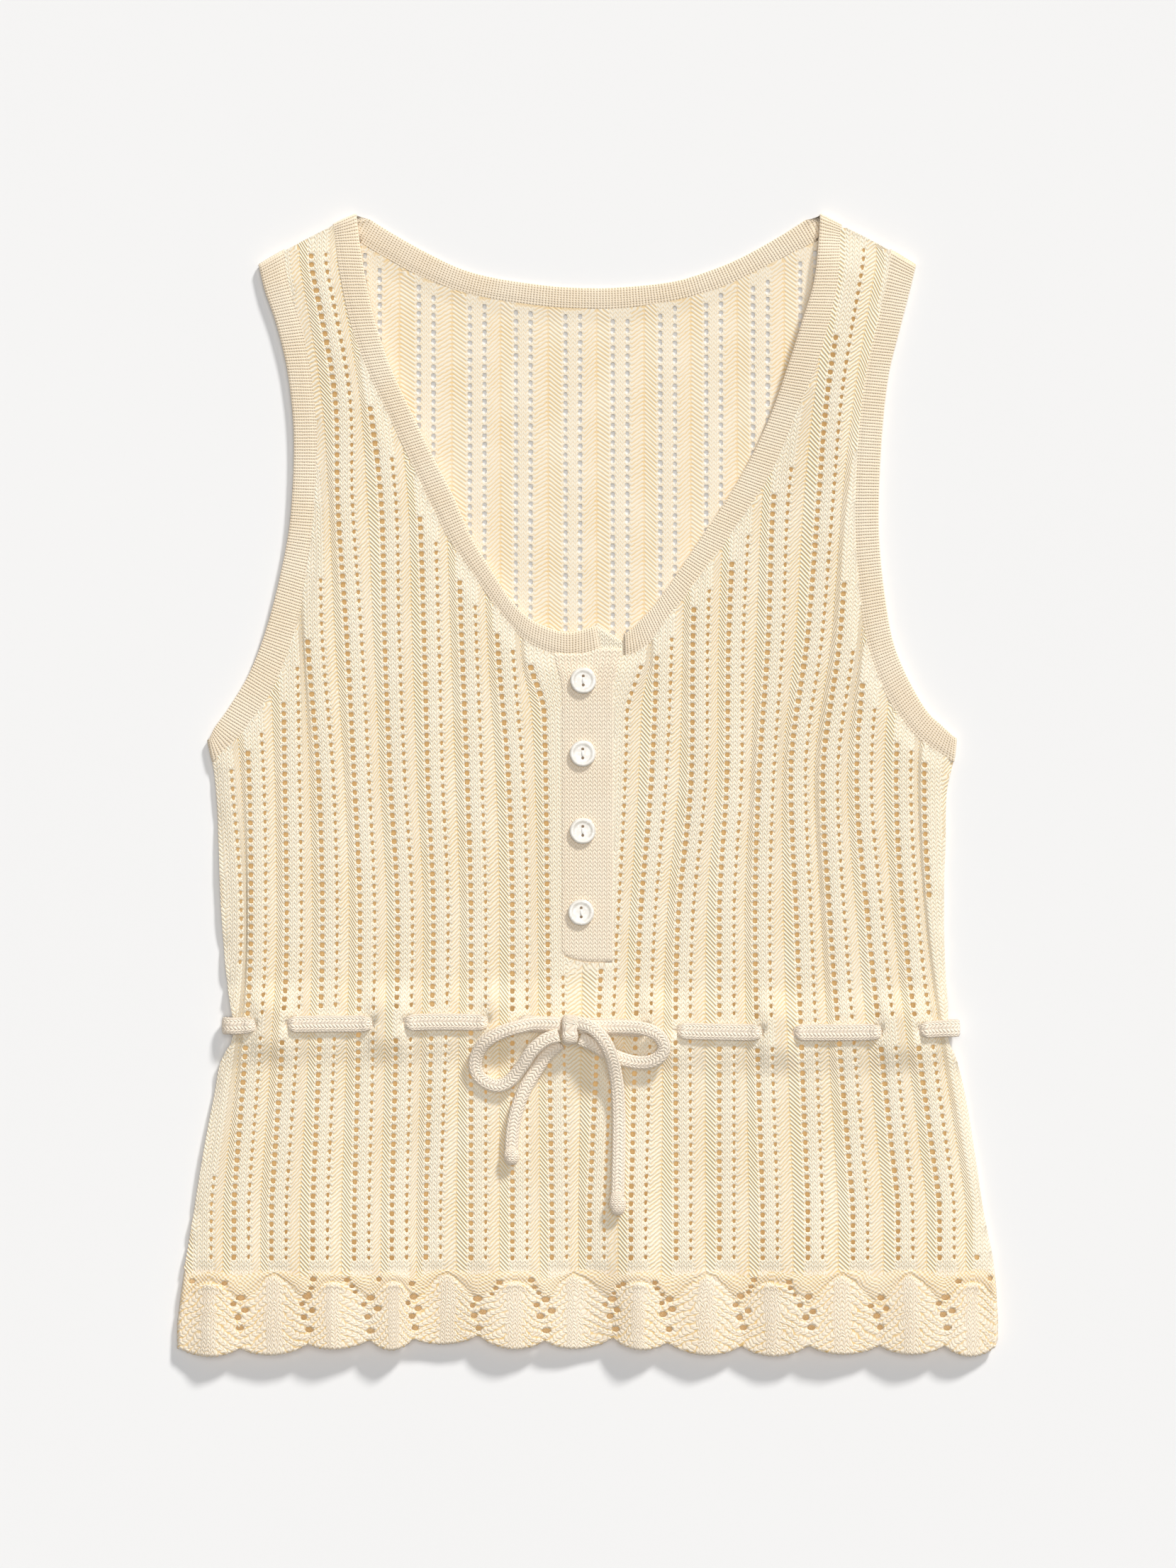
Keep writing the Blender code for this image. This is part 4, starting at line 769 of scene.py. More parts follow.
def tube(rings, marks, caps=True):
    """A closed body through rings of points: rings[along, round], the last point of a ring on its first."""
    bm = laid_grid(rings, marks)
    bmesh.ops.remove_doubles(bm, verts=bm.verts, dist=1e-6)
    if caps:
        edges = [e for e in bm.edges if e.is_boundary]
        bmesh.ops.holes_fill(bm, edges=edges, sides=0)
    bmesh.ops.recalc_face_normals(bm, faces=bm.faces)
    return bm


def piece(bm, name, material, nodes, thick=None, outside=None):
    """outside: the material of the far side of a piece whose near side is only seen from within."""
    mesh = bpy.data.meshes.new(name)
    bm.to_mesh(mesh)
    bm.free()
    mesh.shade_smooth()
    mesh.materials.append(material)
    obj = bpy.data.objects.new(name, mesh)
    bpy.context.scene.collection.objects.link(obj)
    if thick:
        wall = obj.modifiers.new("thickness", "SOLIDIFY")
        wall.thickness = thick * MM
        wall.offset = -1.0
        if outside:
            mesh.materials.append(outside)
            wall.material_offset = 1
            wall.material_offset_rim = 1
    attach(obj, "root")
    if nodes:
        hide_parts(*nodes)
    return obj


def trim(bm, outline, keep_below=None):
    """Cuts a grid to the outline and lays its new edge on it."""
    middles = np.array([f.calc_center_median()[:2] for f in bm.faces]) / MM
    out = ~inside(outline, middles)
    bmesh.ops.delete(bm, geom=[f for f, gone in zip(bm.faces, out) if gone], context="FACES")
    closed = np.vstack([outline, outline[:1]])
    dense = []
    for a, b in zip(closed[:-1], closed[1:]):
        n = max(1, int(np.linalg.norm(b - a) / 0.4))
        dense.extend(a + (b - a) * i / n for i in range(n))
    tree = kdtree.KDTree(len(dense))
    for i, p in enumerate(dense):
        tree.insert((p[0] * MM, p[1] * MM, 0.0), i)
    tree.balance()
    for v in bm.verts:
        if v.is_boundary and (keep_below is None or v.co.y > (keep_below + 0.05) * MM):
            spot, _, far = tree.find((v.co.x, v.co.y, 0.0))
            if far < 4.5 * MM:
                v.co.x, v.co.y = spot.x, spot.y


def open_holes(bm, holes):
    """Cuts oval holes: faces inside an oval go, and the edge left is laid on it."""
    for x, y, half_x, half_y in holes:
        gone = []
        for f in bm.faces:
            c = f.calc_center_median()
            if abs(c.x - x * MM) < 6 * MM and abs(c.y - y * MM) < 6 * MM:
                if math.hypot((c.x / MM - x) / half_x, (c.y / MM - y) / half_y) < 1.0:
                    gone.append(f)
        rim = {v for f in gone for v in f.verts}
        bmesh.ops.delete(bm, geom=gone, context="FACES")
        for v in rim:
            if v.is_valid:
                dx, dy = v.co.x / MM - x, v.co.y / MM - y
                far = max(math.hypot(dx / half_x, dy / half_y), 0.2)
                v.co.x = (x + dx / far) * MM
                v.co.y = (y + dy / far) * MM
                v.co.z -= 0.3 * MM


def pull_eyelets(bm, faces, chance, lip=0.5):
    """Makes grid faces eyelets: a soft lip and an eight-sided hole, no two quite alike.

    faces is a list of (face, small); the small ones narrow to the bottom.
    """
    bmesh.ops.inset_individual(bm, faces=[f for f, _ in faces], thickness=0.1 * MM, use_even_offset=True)
    loops = []
    for f, small in faces:
        corners = list(f.verts)
        middle = f.calc_center_median()
        half_x = 0.5 * (max(v.co.x for v in corners) - min(v.co.x for v in corners))
        half_y = 0.5 * (max(v.co.y for v in corners) - min(v.co.y for v in corners))
        loops.append((list(f.edges), corners, middle, half_x, half_y, small))
    bmesh.ops.delete(bm, geom=[f for f, _ in faces], context="FACES_ONLY")
    for edges, verts, middle, half_x, half_y, small in loops:
        for e in edges:
            _, new = bmesh.utils.edge_split(e, e.verts[0], 0.5)
            verts.append(new)
        wide = half_x * chance.uniform(0.8, 1.04) * (0.86 if small else 1.0)
        tall = half_y * chance.uniform(0.84, 1.04) * (0.8 if small else 1.0)
        lean = chance.uniform(-0.25, 0.25)
        pinch = 0.42 if small else 0.12
        up = 0.12 * half_y if small else 0.0
        for v in verts:
            turn = math.atan2((v.co.y - middle.y) / half_y, (v.co.x - middle.x) / half_x)
            c, r = math.cos(turn), math.sin(turn)
            full = 1.0 - pinch * (0.5 - 0.5 * r) - 0.08 * max(0.0, r)
            v.co.x = middle.x + wide * (math.copysign(abs(c) ** 0.8, c) * full + lean * r * 0.5)
            v.co.y = middle.y + up + tall * math.copysign(abs(r) ** 0.8, r)
            v.co.z -= lip * MM


# The panels

def course_rows():
    """Heights of the grid's rows, from the hem's lace up: eyelet rows and the bars between them."""
    rows = []
    top = TOP_ROW
    while top > LACE_TOP + 1.0:
        rows += [top, top - EYELET_TALL]
        top -= PITCH
    rows = [y for y in rows if y > LACE_TOP + 1.0] + [LACE_TOP]
    return np.array(rows[::-1])


def ribs_across(mids, first, last, end_gap, left, right):
    """The columns of ribs first to last, each from its left valley, and the valley after them."""
    columns = []
    for k in range(first, last + 1):
        mid = mids[k]
        before = (mids[k - 1] + mid) / 2 if k else mid - end_gap
        after = (mid + mids[k + 1]) / 2 if k < len(mids) - 1 else mid + end_gap
        columns += [before, (before + mid - left) / 2, mid - left, mid - CREST_HALF, mid, mid + CREST_HALF,
                    mid + right, (mid + right + after) / 2]
    return np.array(columns + [after])


def knit_map(index, rows, shape):
    """A panel's stitch map: wales across, courses up."""
    return np.stack([np.broadcast_to(index, shape).astype(float), np.broadcast_to(rows[:, None] / COURSE, shape)], -1)


def on_map(face, stitch):
    """A face's left edge on the stitch map, in wales, and its height, in courses."""
    us, vs = zip(*(loop[stitch].uv for loop in face.loops))
    return round(min(us)), max(vs) - min(vs)


def cord_slots(stretches):
    """The openings at both ends of each stretch of the drawstring that shows."""
    return [(e, float(waist_y(e)), *SLOT) for pair in stretches for e in pair if abs(e) < SLOT_LIMIT]


def rib_columns(y, first, last):
    """x of every column at the rows' heights, one array for each, with its place in the rib's pattern."""
    mids = [line(y) for line in rib_lines]
    flare = step((y - 36.0) / 34.0)
    mids[9] = mids[9] - 8.0 * flare
    mids[10] = mids[10] + 8.5 * flare
    columns = ribs_across(mids, first, last, 11.0, *(CREST_HALF + wide for wide in EYELET_WIDE))
    beside = step((y + 95.0) / 7.0)
    edge = PLACKET_HALF - 0.2
    for j in range(1, 5):
        if last == 9:
            spread = mids[9] + j * np.maximum(2.4, (-edge - mids[9]) / 4)
            columns[76 + j] += (spread - columns[76 + j]) * beside
        if first == 10:
            spread = mids[10] - j * np.maximum(2.4, (mids[10] - edge) / 4)
            columns[4 - j] += (spread - columns[4 - j]) * beside
    return columns


def slip_of(first, last):
    """How far each column's courses are shifted up."""
    shift = []
    for k in range(first, last + 1):
        before = (RIB_SLIP[k - 1] + RIB_SLIP[k]) / 2 if k else RIB_SLIP[k]
        after = (RIB_SLIP[k] + RIB_SLIP[k + 1]) / 2 if k < len(RIB_SLIP) - 1 else RIB_SLIP[k]
        own = RIB_SLIP[k]
        shift += [before + 1.0, (before + own) / 2 + 0.5, own, own, own, own + 0.3, own + 0.6, (after + own) / 2 + 0.8]
        if k == last:
            shift.append(after + 1.0)
    return np.array(shift)


def front_face(x, y):
    """The outside of the front cloth without its pattern, with the soft folds of the laid cloth."""
    x = np.asarray(x, float)
    y = np.asarray(y, float)
    z = swollen(front_low(x, y) + WALL, FOLDS, x, y)
    near = np.exp(-((y - waist_y(x)) / 15.0) ** 2)
    return z - 0.45 * near * (1.0 - shows(FRONT_SHOWS, x, 9.0))


def make_front_half(name, first, last, nodes, material):
    rows = course_rows()
    columns = rib_columns(rows, first, last)
    slip = slip_of(first, last)
    settled = step((rows - LACE_TOP) / 25.0)
    y = rows[:, None] + slip[None, :] * settled[:, None]
    x = columns.T
    clear = nearest(FRONT_SEAMS, x, y)
    sides = nearest(SEALED, x, y)
    index = np.arange(first * RIB_COLUMNS, (last + 1) * RIB_COLUMNS + 1)
    relief = np.array([PROFILE[i % RIB_COLUMNS] for i in index])[None, :] * np.ones_like(x)
    beside_placket = (index > 9 * RIB_COLUMNS + 2) & (index < 10 * RIB_COLUMNS + 6)
    over_foot = step((y + 104.0) / 10.0)
    relief = np.where(beside_placket[None, :], relief * (1 - over_foot) + 0.98 * over_foot, relief)
    relief *= (0.25 + 0.75 * step((clear - 2.0) / 7.0)) * (1.0 - 0.6 * at_waist(x, y))
    fade = step((y - LACE_TOP) / 5.0)
    z = front_face(x, y) + RIB_RISE * relief * fade + 0.35 * (1 - fade) - rolled(sides, 2.6)
    plain = beside_placket[None, :] * over_foot
    bm = laid_grid(np.stack([x, y, z], -1), knit_map(index, rows, x.shape), plain=plain)
    stitch = bm.loops.layers.uv["stitches"]
    trim(bm, front_outline(), LACE_TOP)
    chosen = []
    middles = np.array([f.calc_center_median()[:2] for f in bm.faces]) / MM
    clear = nearest(FRONT_SEAMS, middles[:, 0], middles[:, 1])
    for f, (mx, my), far in zip(bm.faces, middles, clear):
        wale, tall = on_map(f, stitch)
        rib, column = divmod(wale, RIB_COLUMNS)
        if column not in EYELET_COLUMNS or tall < EYELET_MIN:
            continue
        if (rib, column) in ((9, 5), (10, 2)) and my > -99.0:
            continue
        if far > (6.2 if my > 185.0 else 8.0) and my > LACE_TOP + 2.5 and abs(my - float(waist_y(mx))) > 5.5:
            chosen.append((f, column == 5))
    pull_eyelets(bm, chosen, random.Random(first + 5))
    crisp(bm)
    open_holes(bm, cord_slots(FRONT_SHOWS))
    return piece(bm, name, material, nodes, KNIT)


def back_face(x, y):
    return back_low(x, y) + WALL


def make_back(material, outside):
    """The back panel: its inside shows in the neck opening, where its own ribs and eyelets are made."""
    rows = course_rows()
    mids = np.array(BACK_RIB_X, float)
    columns = ribs_across(mids, 0, len(mids) - 1, 12.0, BACK_EYELET_OUT, BACK_EYELET_OUT)
    spread = 1.0 + 0.06 * step((60.0 - rows) / 320.0)
    x = columns[None, :] * spread[:, None]
    index = np.arange(len(columns))
    settled = step((rows - LACE_TOP) / 25.0)
    y = np.broadcast_to(rows[:, None], x.shape) + 1.2 * np.sin(index * 0.35)[None, :] * settled[:, None]
    points = np.column_stack([x.ravel(), y.ravel()])
    clear = nearest((*SEALED, BACK_SEAM), x, y)
    crests = np.array([PROFILE[i % RIB_COLUMNS] for i in index])[None, :]
    relief = crests * step((clear - 2.0) / 7.0) * (1.0 - at_waist(x, y))
    opening = np.vstack([NECK_SEAMS[0], NECK_SEAMS[1][::-1], BACK_SEAM[::-1]])
    covered = ~inside(opening, points).reshape(x.shape)
    seen = 1.0 - step((nearest((opening,), x, y) * np.where(covered, 1, -1) + 9.0) / 9.0)
    z = back_face(x, y) - 0.25 - 0.95 * seen + (0.6 - 0.3 * seen) * relief
    bm = laid_grid(np.stack([x, y, z], -1), knit_map(index, rows, x.shape), covered=covered)
    stitch = bm.loops.layers.uv["stitches"]
    trim(bm, back_outline(), LACE_TOP)
    middles = np.array([f.calc_center_median()[:2] for f in bm.faces]) / MM
    far = distance_to(BACK_SEAM, middles)
    in_neck = inside(opening, middles)
    chosen = []
    for f, away, shown in zip(bm.faces, far, in_neck):
        wale, tall = on_map(f, stitch)
        if shown and away > 5.0 and wale % RIB_COLUMNS in EYELET_COLUMNS and tall > EYELET_MIN:
            chosen.append((f, False))
    pull_eyelets(bm, chosen, random.Random(3), 0.1)
    crisp(bm)
    open_holes(bm, cord_slots(BACK_SHOWS))
    return piece(bm, "back_knit", material, ("back_panel",), 0.7, outside)


def make_lace(name, face, hem_short, material, holes, node, outside=None):
    """The scalloped border: between scallops a garter swag hangs, and below it ribs fan out from each trunk."""
    per, tall = (44, 58) if holes else (22, 28)
    edges = [None] + [row[2] for row in SCALLOPS[:-1]] + [None]
    t = np.linspace(0.0, 1.0, tall + 1)[::-1]
    places, marks, arch, wale = [], [], [], []
    top_columns = rib_columns(np.array([LACE_TOP]), 0, len(RIB_X) - 1)[:, 0]
    for m, (mid, bottom, _, _) in enumerate(SCALLOPS):
        for i in range(per + (1 if m == len(SCALLOPS) - 1 else 0)):
            s = 2.0 * i / per - 1.0
            y = LACE_TOP + t * (-300.0 - LACE_TOP)
            left = left_side(y) if edges[m] is None else np.full_like(y, edges[m])
            right = right_side(y) if edges[m + 1] is None else np.full_like(y, edges[m + 1])
            x = mid + s * np.where(s < 0, mid - left, right - mid)
            low = hem_y(x) + hem_short + 0.22 * np.sin(x * 2.4)
            y = LACE_TOP + t * (low - LACE_TOP)
            q = abs(s)
            away = FAN_HALF * q
            down = LACE_TALL * t
            arched = m not in POINTED
            start, drop, power = ARCHED_SWAG if arched else POINTED_SWAG
            swag = start + drop * q ** power
            in_fan = step((down - swag) / 1.6 + 0.5)
            z = face(x, y) + 0.35 - 0.4 * np.exp(-((down - swag) / 1.1) ** 2)
            z += in_fan * 0.5 * math.exp(-(away / 5.0) ** 2) - in_fan * 0.5 * q ** 3
            if holes and away > 3.8:
                wander = 0.9 * math.sin(m * 2.1 + away * 0.8) + 0.8 * np.sin(down * 0.45 + 2.0 * m)
                z -= in_fan * 0.13 * np.cos(2 * math.pi * (down - away) * 0.707 / LACE_STRAND + wander) * (
                    1 - step((down - 40.0) / 3.0))
            z += (1 - in_fan) * 0.45 * np.sin(math.pi * np.clip(down / np.maximum(swag, 1), 0, 1)) ** 2
            if arched:
                bumps = 0.55 + 0.25 * math.cos(2 * math.pi * away / 2.4)
                z += bumps * np.exp(-((down - swag - 1.5) / 1.5) ** 2) * (1 - step((away - 6.0) / 4.0))
            z -= rolled(np.abs(down - LACE_TALL), 1.4)
            z -= rolled(np.maximum(np.minimum(x - left_side(y), right_side(y) - x), 0.0), 2.6)
            places.append(np.stack([x, y, z], -1))
            marks.append(np.stack([np.full_like(x, away), down], -1))
            arch.append(np.full_like(x, float(arched)))
            wale.append(np.full_like(x, np.interp(x[-1], top_columns, np.arange(len(top_columns)))))
    bm = laid_grid(np.array(places).transpose(1, 0, 2), np.array(marks).transpose(1, 0, 2), arch=np.array(arch).T,
                   wale=np.array(wale).T)
    if holes:
        chance = random.Random(11)
        spots = [(row[2] + dx + chance.uniform(-1, 1), dy + chance.uniform(-1, 1), a * chance.uniform(0.8, 1.1), b)
                 for row in SCALLOPS[:-1] for dx, dy, a, b in LACE_HOLES]
        spots += [(row[0] + side * chance.uniform(7.4, 9.6), chance.uniform(-265.6, -262.6),
                   chance.uniform(1.3, 1.9), 1.2)
                  for m, row in enumerate(SCALLOPS) if m not in POINTED for side in (-1, 1)]
        spots += [(row[0] + side * (far + chance.uniform(-0.6, 0.6)), y + chance.uniform(-0.8, 0.8), wide, 0.9)
                  for m, row in enumerate(SCALLOPS) if m not in POINTED and m not in (0, 3, 12) for side in (-1, 1)
                  for far, y, wide in ((10.6, -267.4, 1.5), (12.4, -270.6, 1.2))]
        open_holes(bm, spots)
    crisp(bm, y=LACE_TOP)
    return piece(bm, name, material, (node,), KNIT, outside)


# Bands

def band_section(free, seam, up, thick):
    """Points round one section of a band, from under the free edge over the top to the seam and back."""
    across = (seam - free) / np.linalg.norm(seam - free)
    wide = np.linalg.norm(seam - free) + BAND_LAP
    half = thick / 2
    outline = [(0.35, -0.8), (0.0, -0.3), (0.05, 0.35), (0.5, 0.85), (1.4, 1.0), (wide * 0.3, 1.02), (wide * 0.6, 1.0),
               (wide - 2.6, 0.9), (wide - 1.9, 0.68), (wide - 1.0, 0.86), (wide - 0.35, 0.6), (wide, 0.1),
               (wide - 0.3, -0.6), (wide * 0.6, -0.95), (1.2, -0.95), (0.35, -0.8)]
    points = np.array([free + across * a + up * half * b for a, b in outline])
    v = np.array([a / 1.25 for a, _ in outline])
    return points, v


def band_rings(free, seam, level, thick):
    """Sections along a band; level gives the height of its middle."""
    rings, marks = [], []
    for f, s in zip(free, seam):
        f3 = np.append(f, level(f))
        s3 = np.append(s, level(s))
        across = (s3 - f3) / np.linalg.norm(s3 - f3)
        up = np.array([0.0, 0.0, 1.0]) - across * across[2]
        ring, v = band_section(f3, s3, up / np.linalg.norm(up), thick)
        rings.append(ring)
        marks.append(v)
    return rings, marks


def upper_level(thick):
    def level(p):
        return float(front_low(np.array([p[0]]), np.array([p[1]]))[0]) + thick / 2
    return level


def lower_level(thick):
    def level(p):
        return float(back_low(p[0], p[1])) + thick / 2
    return level


def fold_rings(free, seam, low, high, out, thick):
    """Sections that take a band round a fold, from its upper layer (high) to its lower one (low)."""
    rings, marks = [], []
    middle = (low + high) / 2
    radius = (high - low) / 2
    reach = radius * FOLD_REACH
    for turn in np.linspace(math.pi / 2, -math.pi / 2, FOLD_SECTIONS + 2)[1:-1]:
        up = np.array([out[0] * math.cos(turn), out[1] * math.cos(turn), math.sin(turn)])
        shift = np.array([out[0], out[1], 0.0]) * reach * math.cos(turn)
        height = middle + radius * math.sin(turn)
        ring, v = band_section(np.append(free, height) + shift, np.append(seam, height) + shift, up, thick)
        rings.append(ring)
        marks.append(v)
    return rings, marks


def paired_curve(table, spacing):
    both = curve(table_points(table, "free_x", "free_y", "seam_x", "seam_y"), spacing)
    return both[:, :2], both[:, 2:]


def ring_marks(rings, vs):
    """The stitch map of a band: ribs counted along it, stitches counted across it."""
    middles = np.array([ring.mean(axis=0) for ring in rings])
    along = np.concatenate([[0.0], np.cumsum(np.linalg.norm(np.diff(middles, axis=0), axis=1))]) / 1.6
    return np.stack([np.repeat(along[:, None], len(vs[0]), axis=1), np.array(vs)], -1)


def make_armband(name, table, side, material, node):
    thick = WALL + BAND_RISE
    free, seam = paired_curve(table, 4.0)
    front, front_v = band_rings(free, seam, upper_level(thick), thick)
    back, back_v = band_rings(free, seam, lower_level(WALL), WALL)
    flip = [r[::-1] for r in back]
    high = [upper_level(thick)((free[i] + seam[i]) / 2) for i in (0, -1)]
    low = [lower_level(WALL)((free[i] + seam[i]) / 2) for i in (0, -1)]
    top, top_v = fold_rings(free[0], seam[0], low[0], high[0], (0.5 * side, 0.866), WALL)
    under, under_v = fold_rings(free[-1], seam[-1], low[-1], high[-1], (0.98 * side, -0.17), WALL)
    rings = front + under + flip[::-1] + top[::-1] + front[:1]
    vs = front_v + under_v + [v[::-1] for v in back_v][::-1] + top_v[::-1] + front_v[:1]
    bm = tube(np.array(rings), ring_marks(rings, vs), caps=False)
    piece(bm, name, material, (node,))


def make_neckband(material):
    thick = WALL + BAND_RISE
    left_free, left_seam = paired_curve(NECK_LEFT, 4.0)
    right_free, right_seam = paired_curve(NECK_RIGHT, 4.0)
    back_free, back_seam = paired_curve(NECK_BACK, 4.0)
    level = upper_level(thick)
    left, left_v = band_rings(left_free, left_seam, level, thick)
    right, right_v = band_rings(right_free, right_seam, level, thick)
    back, back_v = band_rings(back_free, back_seam, lower_level(WALL), WALL)
    folds, fold_v = [], []
    for free, seam, out in ((left_free[0], left_seam[0], (-0.1, 0.995)),
                            (right_free[0], right_seam[0], (0.1, 0.995))):
        rings, v = fold_rings(free, seam, WALL / 2, level((free + seam) / 2), out, WALL)
        folds.append(rings)
        fold_v.append(v)
    rings = left[::-1] + folds[0] + [r[::-1] for r in back] + folds[1][::-1] + right
    vs = left_v[::-1] + fold_v[0] + [v[::-1] for v in back_v] + fold_v[1][::-1] + right_v
    bm = tube(np.array(rings), ring_marks(rings, vs))
    piece(bm, "neck_rib", material, ("neckband",))


# Placket and buttons

def placket_base(x, y):
    return front_low(x, y) + UNDER_THICK + GAP


def neck_edge():
    xs = NECK_LEFT["seam_x"][-4:] + (18.0,)
    ys = tuple(y - GAP for y in NECK_LEFT["seam_y"][-4:])
    return smooth_line(xs, ys + (ys[-1] - 0.8,))


def make_placket(material, under_material):
    half = PLACKET_HALF + 1.3
    top_line = neck_edge()
    across = np.linspace(-half, half, 25)
    down = np.linspace(1.0, 0.0, 81)
    foot = foot_line(across) - 0.5
    top = top_line(across) + 1.6
    y = top[None, :] + (foot - top)[None, :] * down[:, None]
    wale = np.repeat(across[None, :], len(down), axis=0)
    near_top = step((y - top[None, :] + 20.0) / 20.0)
    x = wale * (1.0 + 0.3 * near_top)
    clear = nearest(NECK_SEAMS, x, y)
    z = front_face(x, y) + RIB_RISE * 0.98 * (0.25 + 0.75 * step((clear - 2.0) / 7.0)) + 0.22
    z = z - rolled(half - np.abs(wale), 0.7) - rolled(y - foot[None, :], 1.4)
    bm = laid_grid(np.stack([x, y, z], -1), np.stack([wale / PLACKET_WALE + 0.5, y / PLACKET_COURSE], -1))
    piece(bm, "buttonhole_band", material, ("placket_over",), 1.2)
    x, share = np.meshgrid(np.linspace(-half, 22.0, 30), np.linspace(0.0, 1.0, 14))
    top = np.where(x < 4.0, 66.0, 83.4 - (x - 7.2) * 0.62)
    y = 58.0 + (top - 58.0) * share
    z = front_low(x, y) + UNDER_THICK + 0.7 - rolled(top - y, 1.0)
    bm = laid_grid(np.stack([x, y, z], -1), np.stack([x / PLACKET_WALE, y / PLACKET_COURSE], -1))
    piece(bm, "button_band", under_material, ("placket_under",), 1.0)


def make_button(number, x, y, material, thread_material, shade_material):
    """A turned disc with a raised rim round a shallow well, two holes drawn as dark discs of painted shade, and the
    thread between them.
    """
    around = np.array([(x + 4.0 * i, y + 4.0 * j) for i in (-1, 0, 1) for j in (-1, 0, 1)])
    seat = float((placket_base(around[:, 0], around[:, 1]) + OVER_THICK).max()) + GAP
    profile = ((0.0, 1.72), (3.8, 1.72), (4.5, 1.8), (5.1, 2.0), (5.8, 2.08), (6.4, 2.02), (6.8, 1.8), (7.0, 1.4),
               (6.9, 0.9), (6.0, 0.3), (4.2, 0.05), (0.0, 0.0))
    bm = bmesh.new()
    verts = [bm.verts.new((r * MM, 0.0, h * MM)) for r, h in profile]
    edges = [bm.edges.new(pair) for pair in zip(verts[:-1], verts[1:])]
    bmesh.ops.spin(bm, geom=verts + edges, cent=(0, 0, 0), axis=(0, 0, 1), angle=2 * math.pi, steps=40,
                   use_merge=True)
    bmesh.ops.remove_doubles(bm, verts=bm.verts, dist=1e-6)
    bmesh.ops.recalc_face_normals(bm, faces=bm.faces)
    bmesh.ops.translate(bm, verts=bm.verts, vec=Vector((x, y, seat)) * MM)
    piece(bm, f"pearl_button_{number}", material, (f"button_{number}",))
    # The holes: dark discs of painted shade on the well's floor.
    bm = bmesh.new()
    for side in (-1, 1):
        made = bmesh.ops.create_circle(bm, cap_ends=True, segments=16, radius=0.8 * MM)
        middle = Vector((x, y + side * BUTTON_HOLE_APART / 2, seat + BUTTON_WELL))
        bmesh.ops.translate(bm, verts=made["verts"], vec=middle * MM)
    piece(bm, f"button_eyes_{number}", shade_material, ())
    bm = bmesh.new()
    made = bmesh.ops.create_uvsphere(bm, u_segments=16, v_segments=10, radius=1.0)
    bmesh.ops.scale(bm, verts=made["verts"], vec=Vector((0.75, 1.75, 0.42)) * MM)
    bmesh.ops.translate(bm, verts=made["verts"], vec=Vector((x, y, seat + BUTTON_WELL)) * MM)
    piece(bm, f"button_thread_{number}", thread_material, ())


# The drawstring

def cloth_top_at(x, y, above=0.9):
    """A height a little above the front cloth's highest point near a place."""
    around = np.array([(x + i, y + j) for i in (-2.5, 0.0, 2.5) for j in (-2.5, 0.0, 2.5)])
    return float(front_face(around[:, 0], around[:, 1]).max()) + above


def waist_run():
    """Centre, width and upward direction of the waist drawstring, from the knot's left side all round."""
    half = CORD_THICK / 2
    points = []

    def pinch(x, stretches):
        ends = [e for stretch in stretches for e in stretch if abs(e) < SLOT_LIMIT]
        near = min(abs(x - e) for e in ends)
        return CORD_PINCH + (CORD_WIDE - CORD_PINCH) * float(step((near - 0.6) / 3.0))

    def front(x):
        y = float(waist_y(x))
        outside = float(shows(FRONT_SHOWS, x, 5.0))
        inside_z = float(front_low(np.array([x]), np.array([y]))[0]) - GAP - half
        outside_z = cloth_top_at(x, y, WAIST_ABOVE) + GAP + half
        points.append((x, y, inside_z + (outside_z - inside_z) * outside, pinch(x, FRONT_SHOWS), 0, 1))

    def behind(x):
        y = float(waist_y(x))
        outside = float(shows(BACK_SHOWS, x, 5.0))
        inside_z = float(back_low(x, y)) + WALL + GAP + half
        outside_z = max(float(back_low(x, y)) - GAP - half, half + 0.05)
        points.append((x, y, inside_z + (outside_z - inside_z) * outside, pinch(x, BACK_SHOWS), 0, -1))

    def side(edge_x, reach, direction):
        """Round the side seam, from in front to behind when direction is -1."""
        y = float(waist_y(edge_x))
        high = cloth_top_at(edge_x - math.copysign(5.0, edge_x), y, WAIST_ABOVE) + GAP + half
        low = half + 0.05
        turns = np.linspace(math.pi / 2, -math.pi / 2, 11)
        if direction > 0:
            turns = turns[::-1]
        for a in turns:
            out = math.copysign(reach * math.cos(a), edge_x)
            z = (high + low) / 2 + (high - low) / 2 * math.sin(a)
            points.append((edge_x + out, y, z, CORD_WIDE, math.copysign(math.cos(a), edge_x), math.sin(a)))

    for x in np.arange(KNOT[0] - 2.0, -184.5, -1.5):
        front(x)
    side(*SIDE_WRAPS["left"], -1)
    for x in np.arange(-184.0, 186.5, 2.5):
        behind(x)
    side(*SIDE_WRAPS["right"], 1)
    for x in np.arange(186.5, KNOT[0] + 2.0, -1.5):
        front(x)
    return np.array(points)


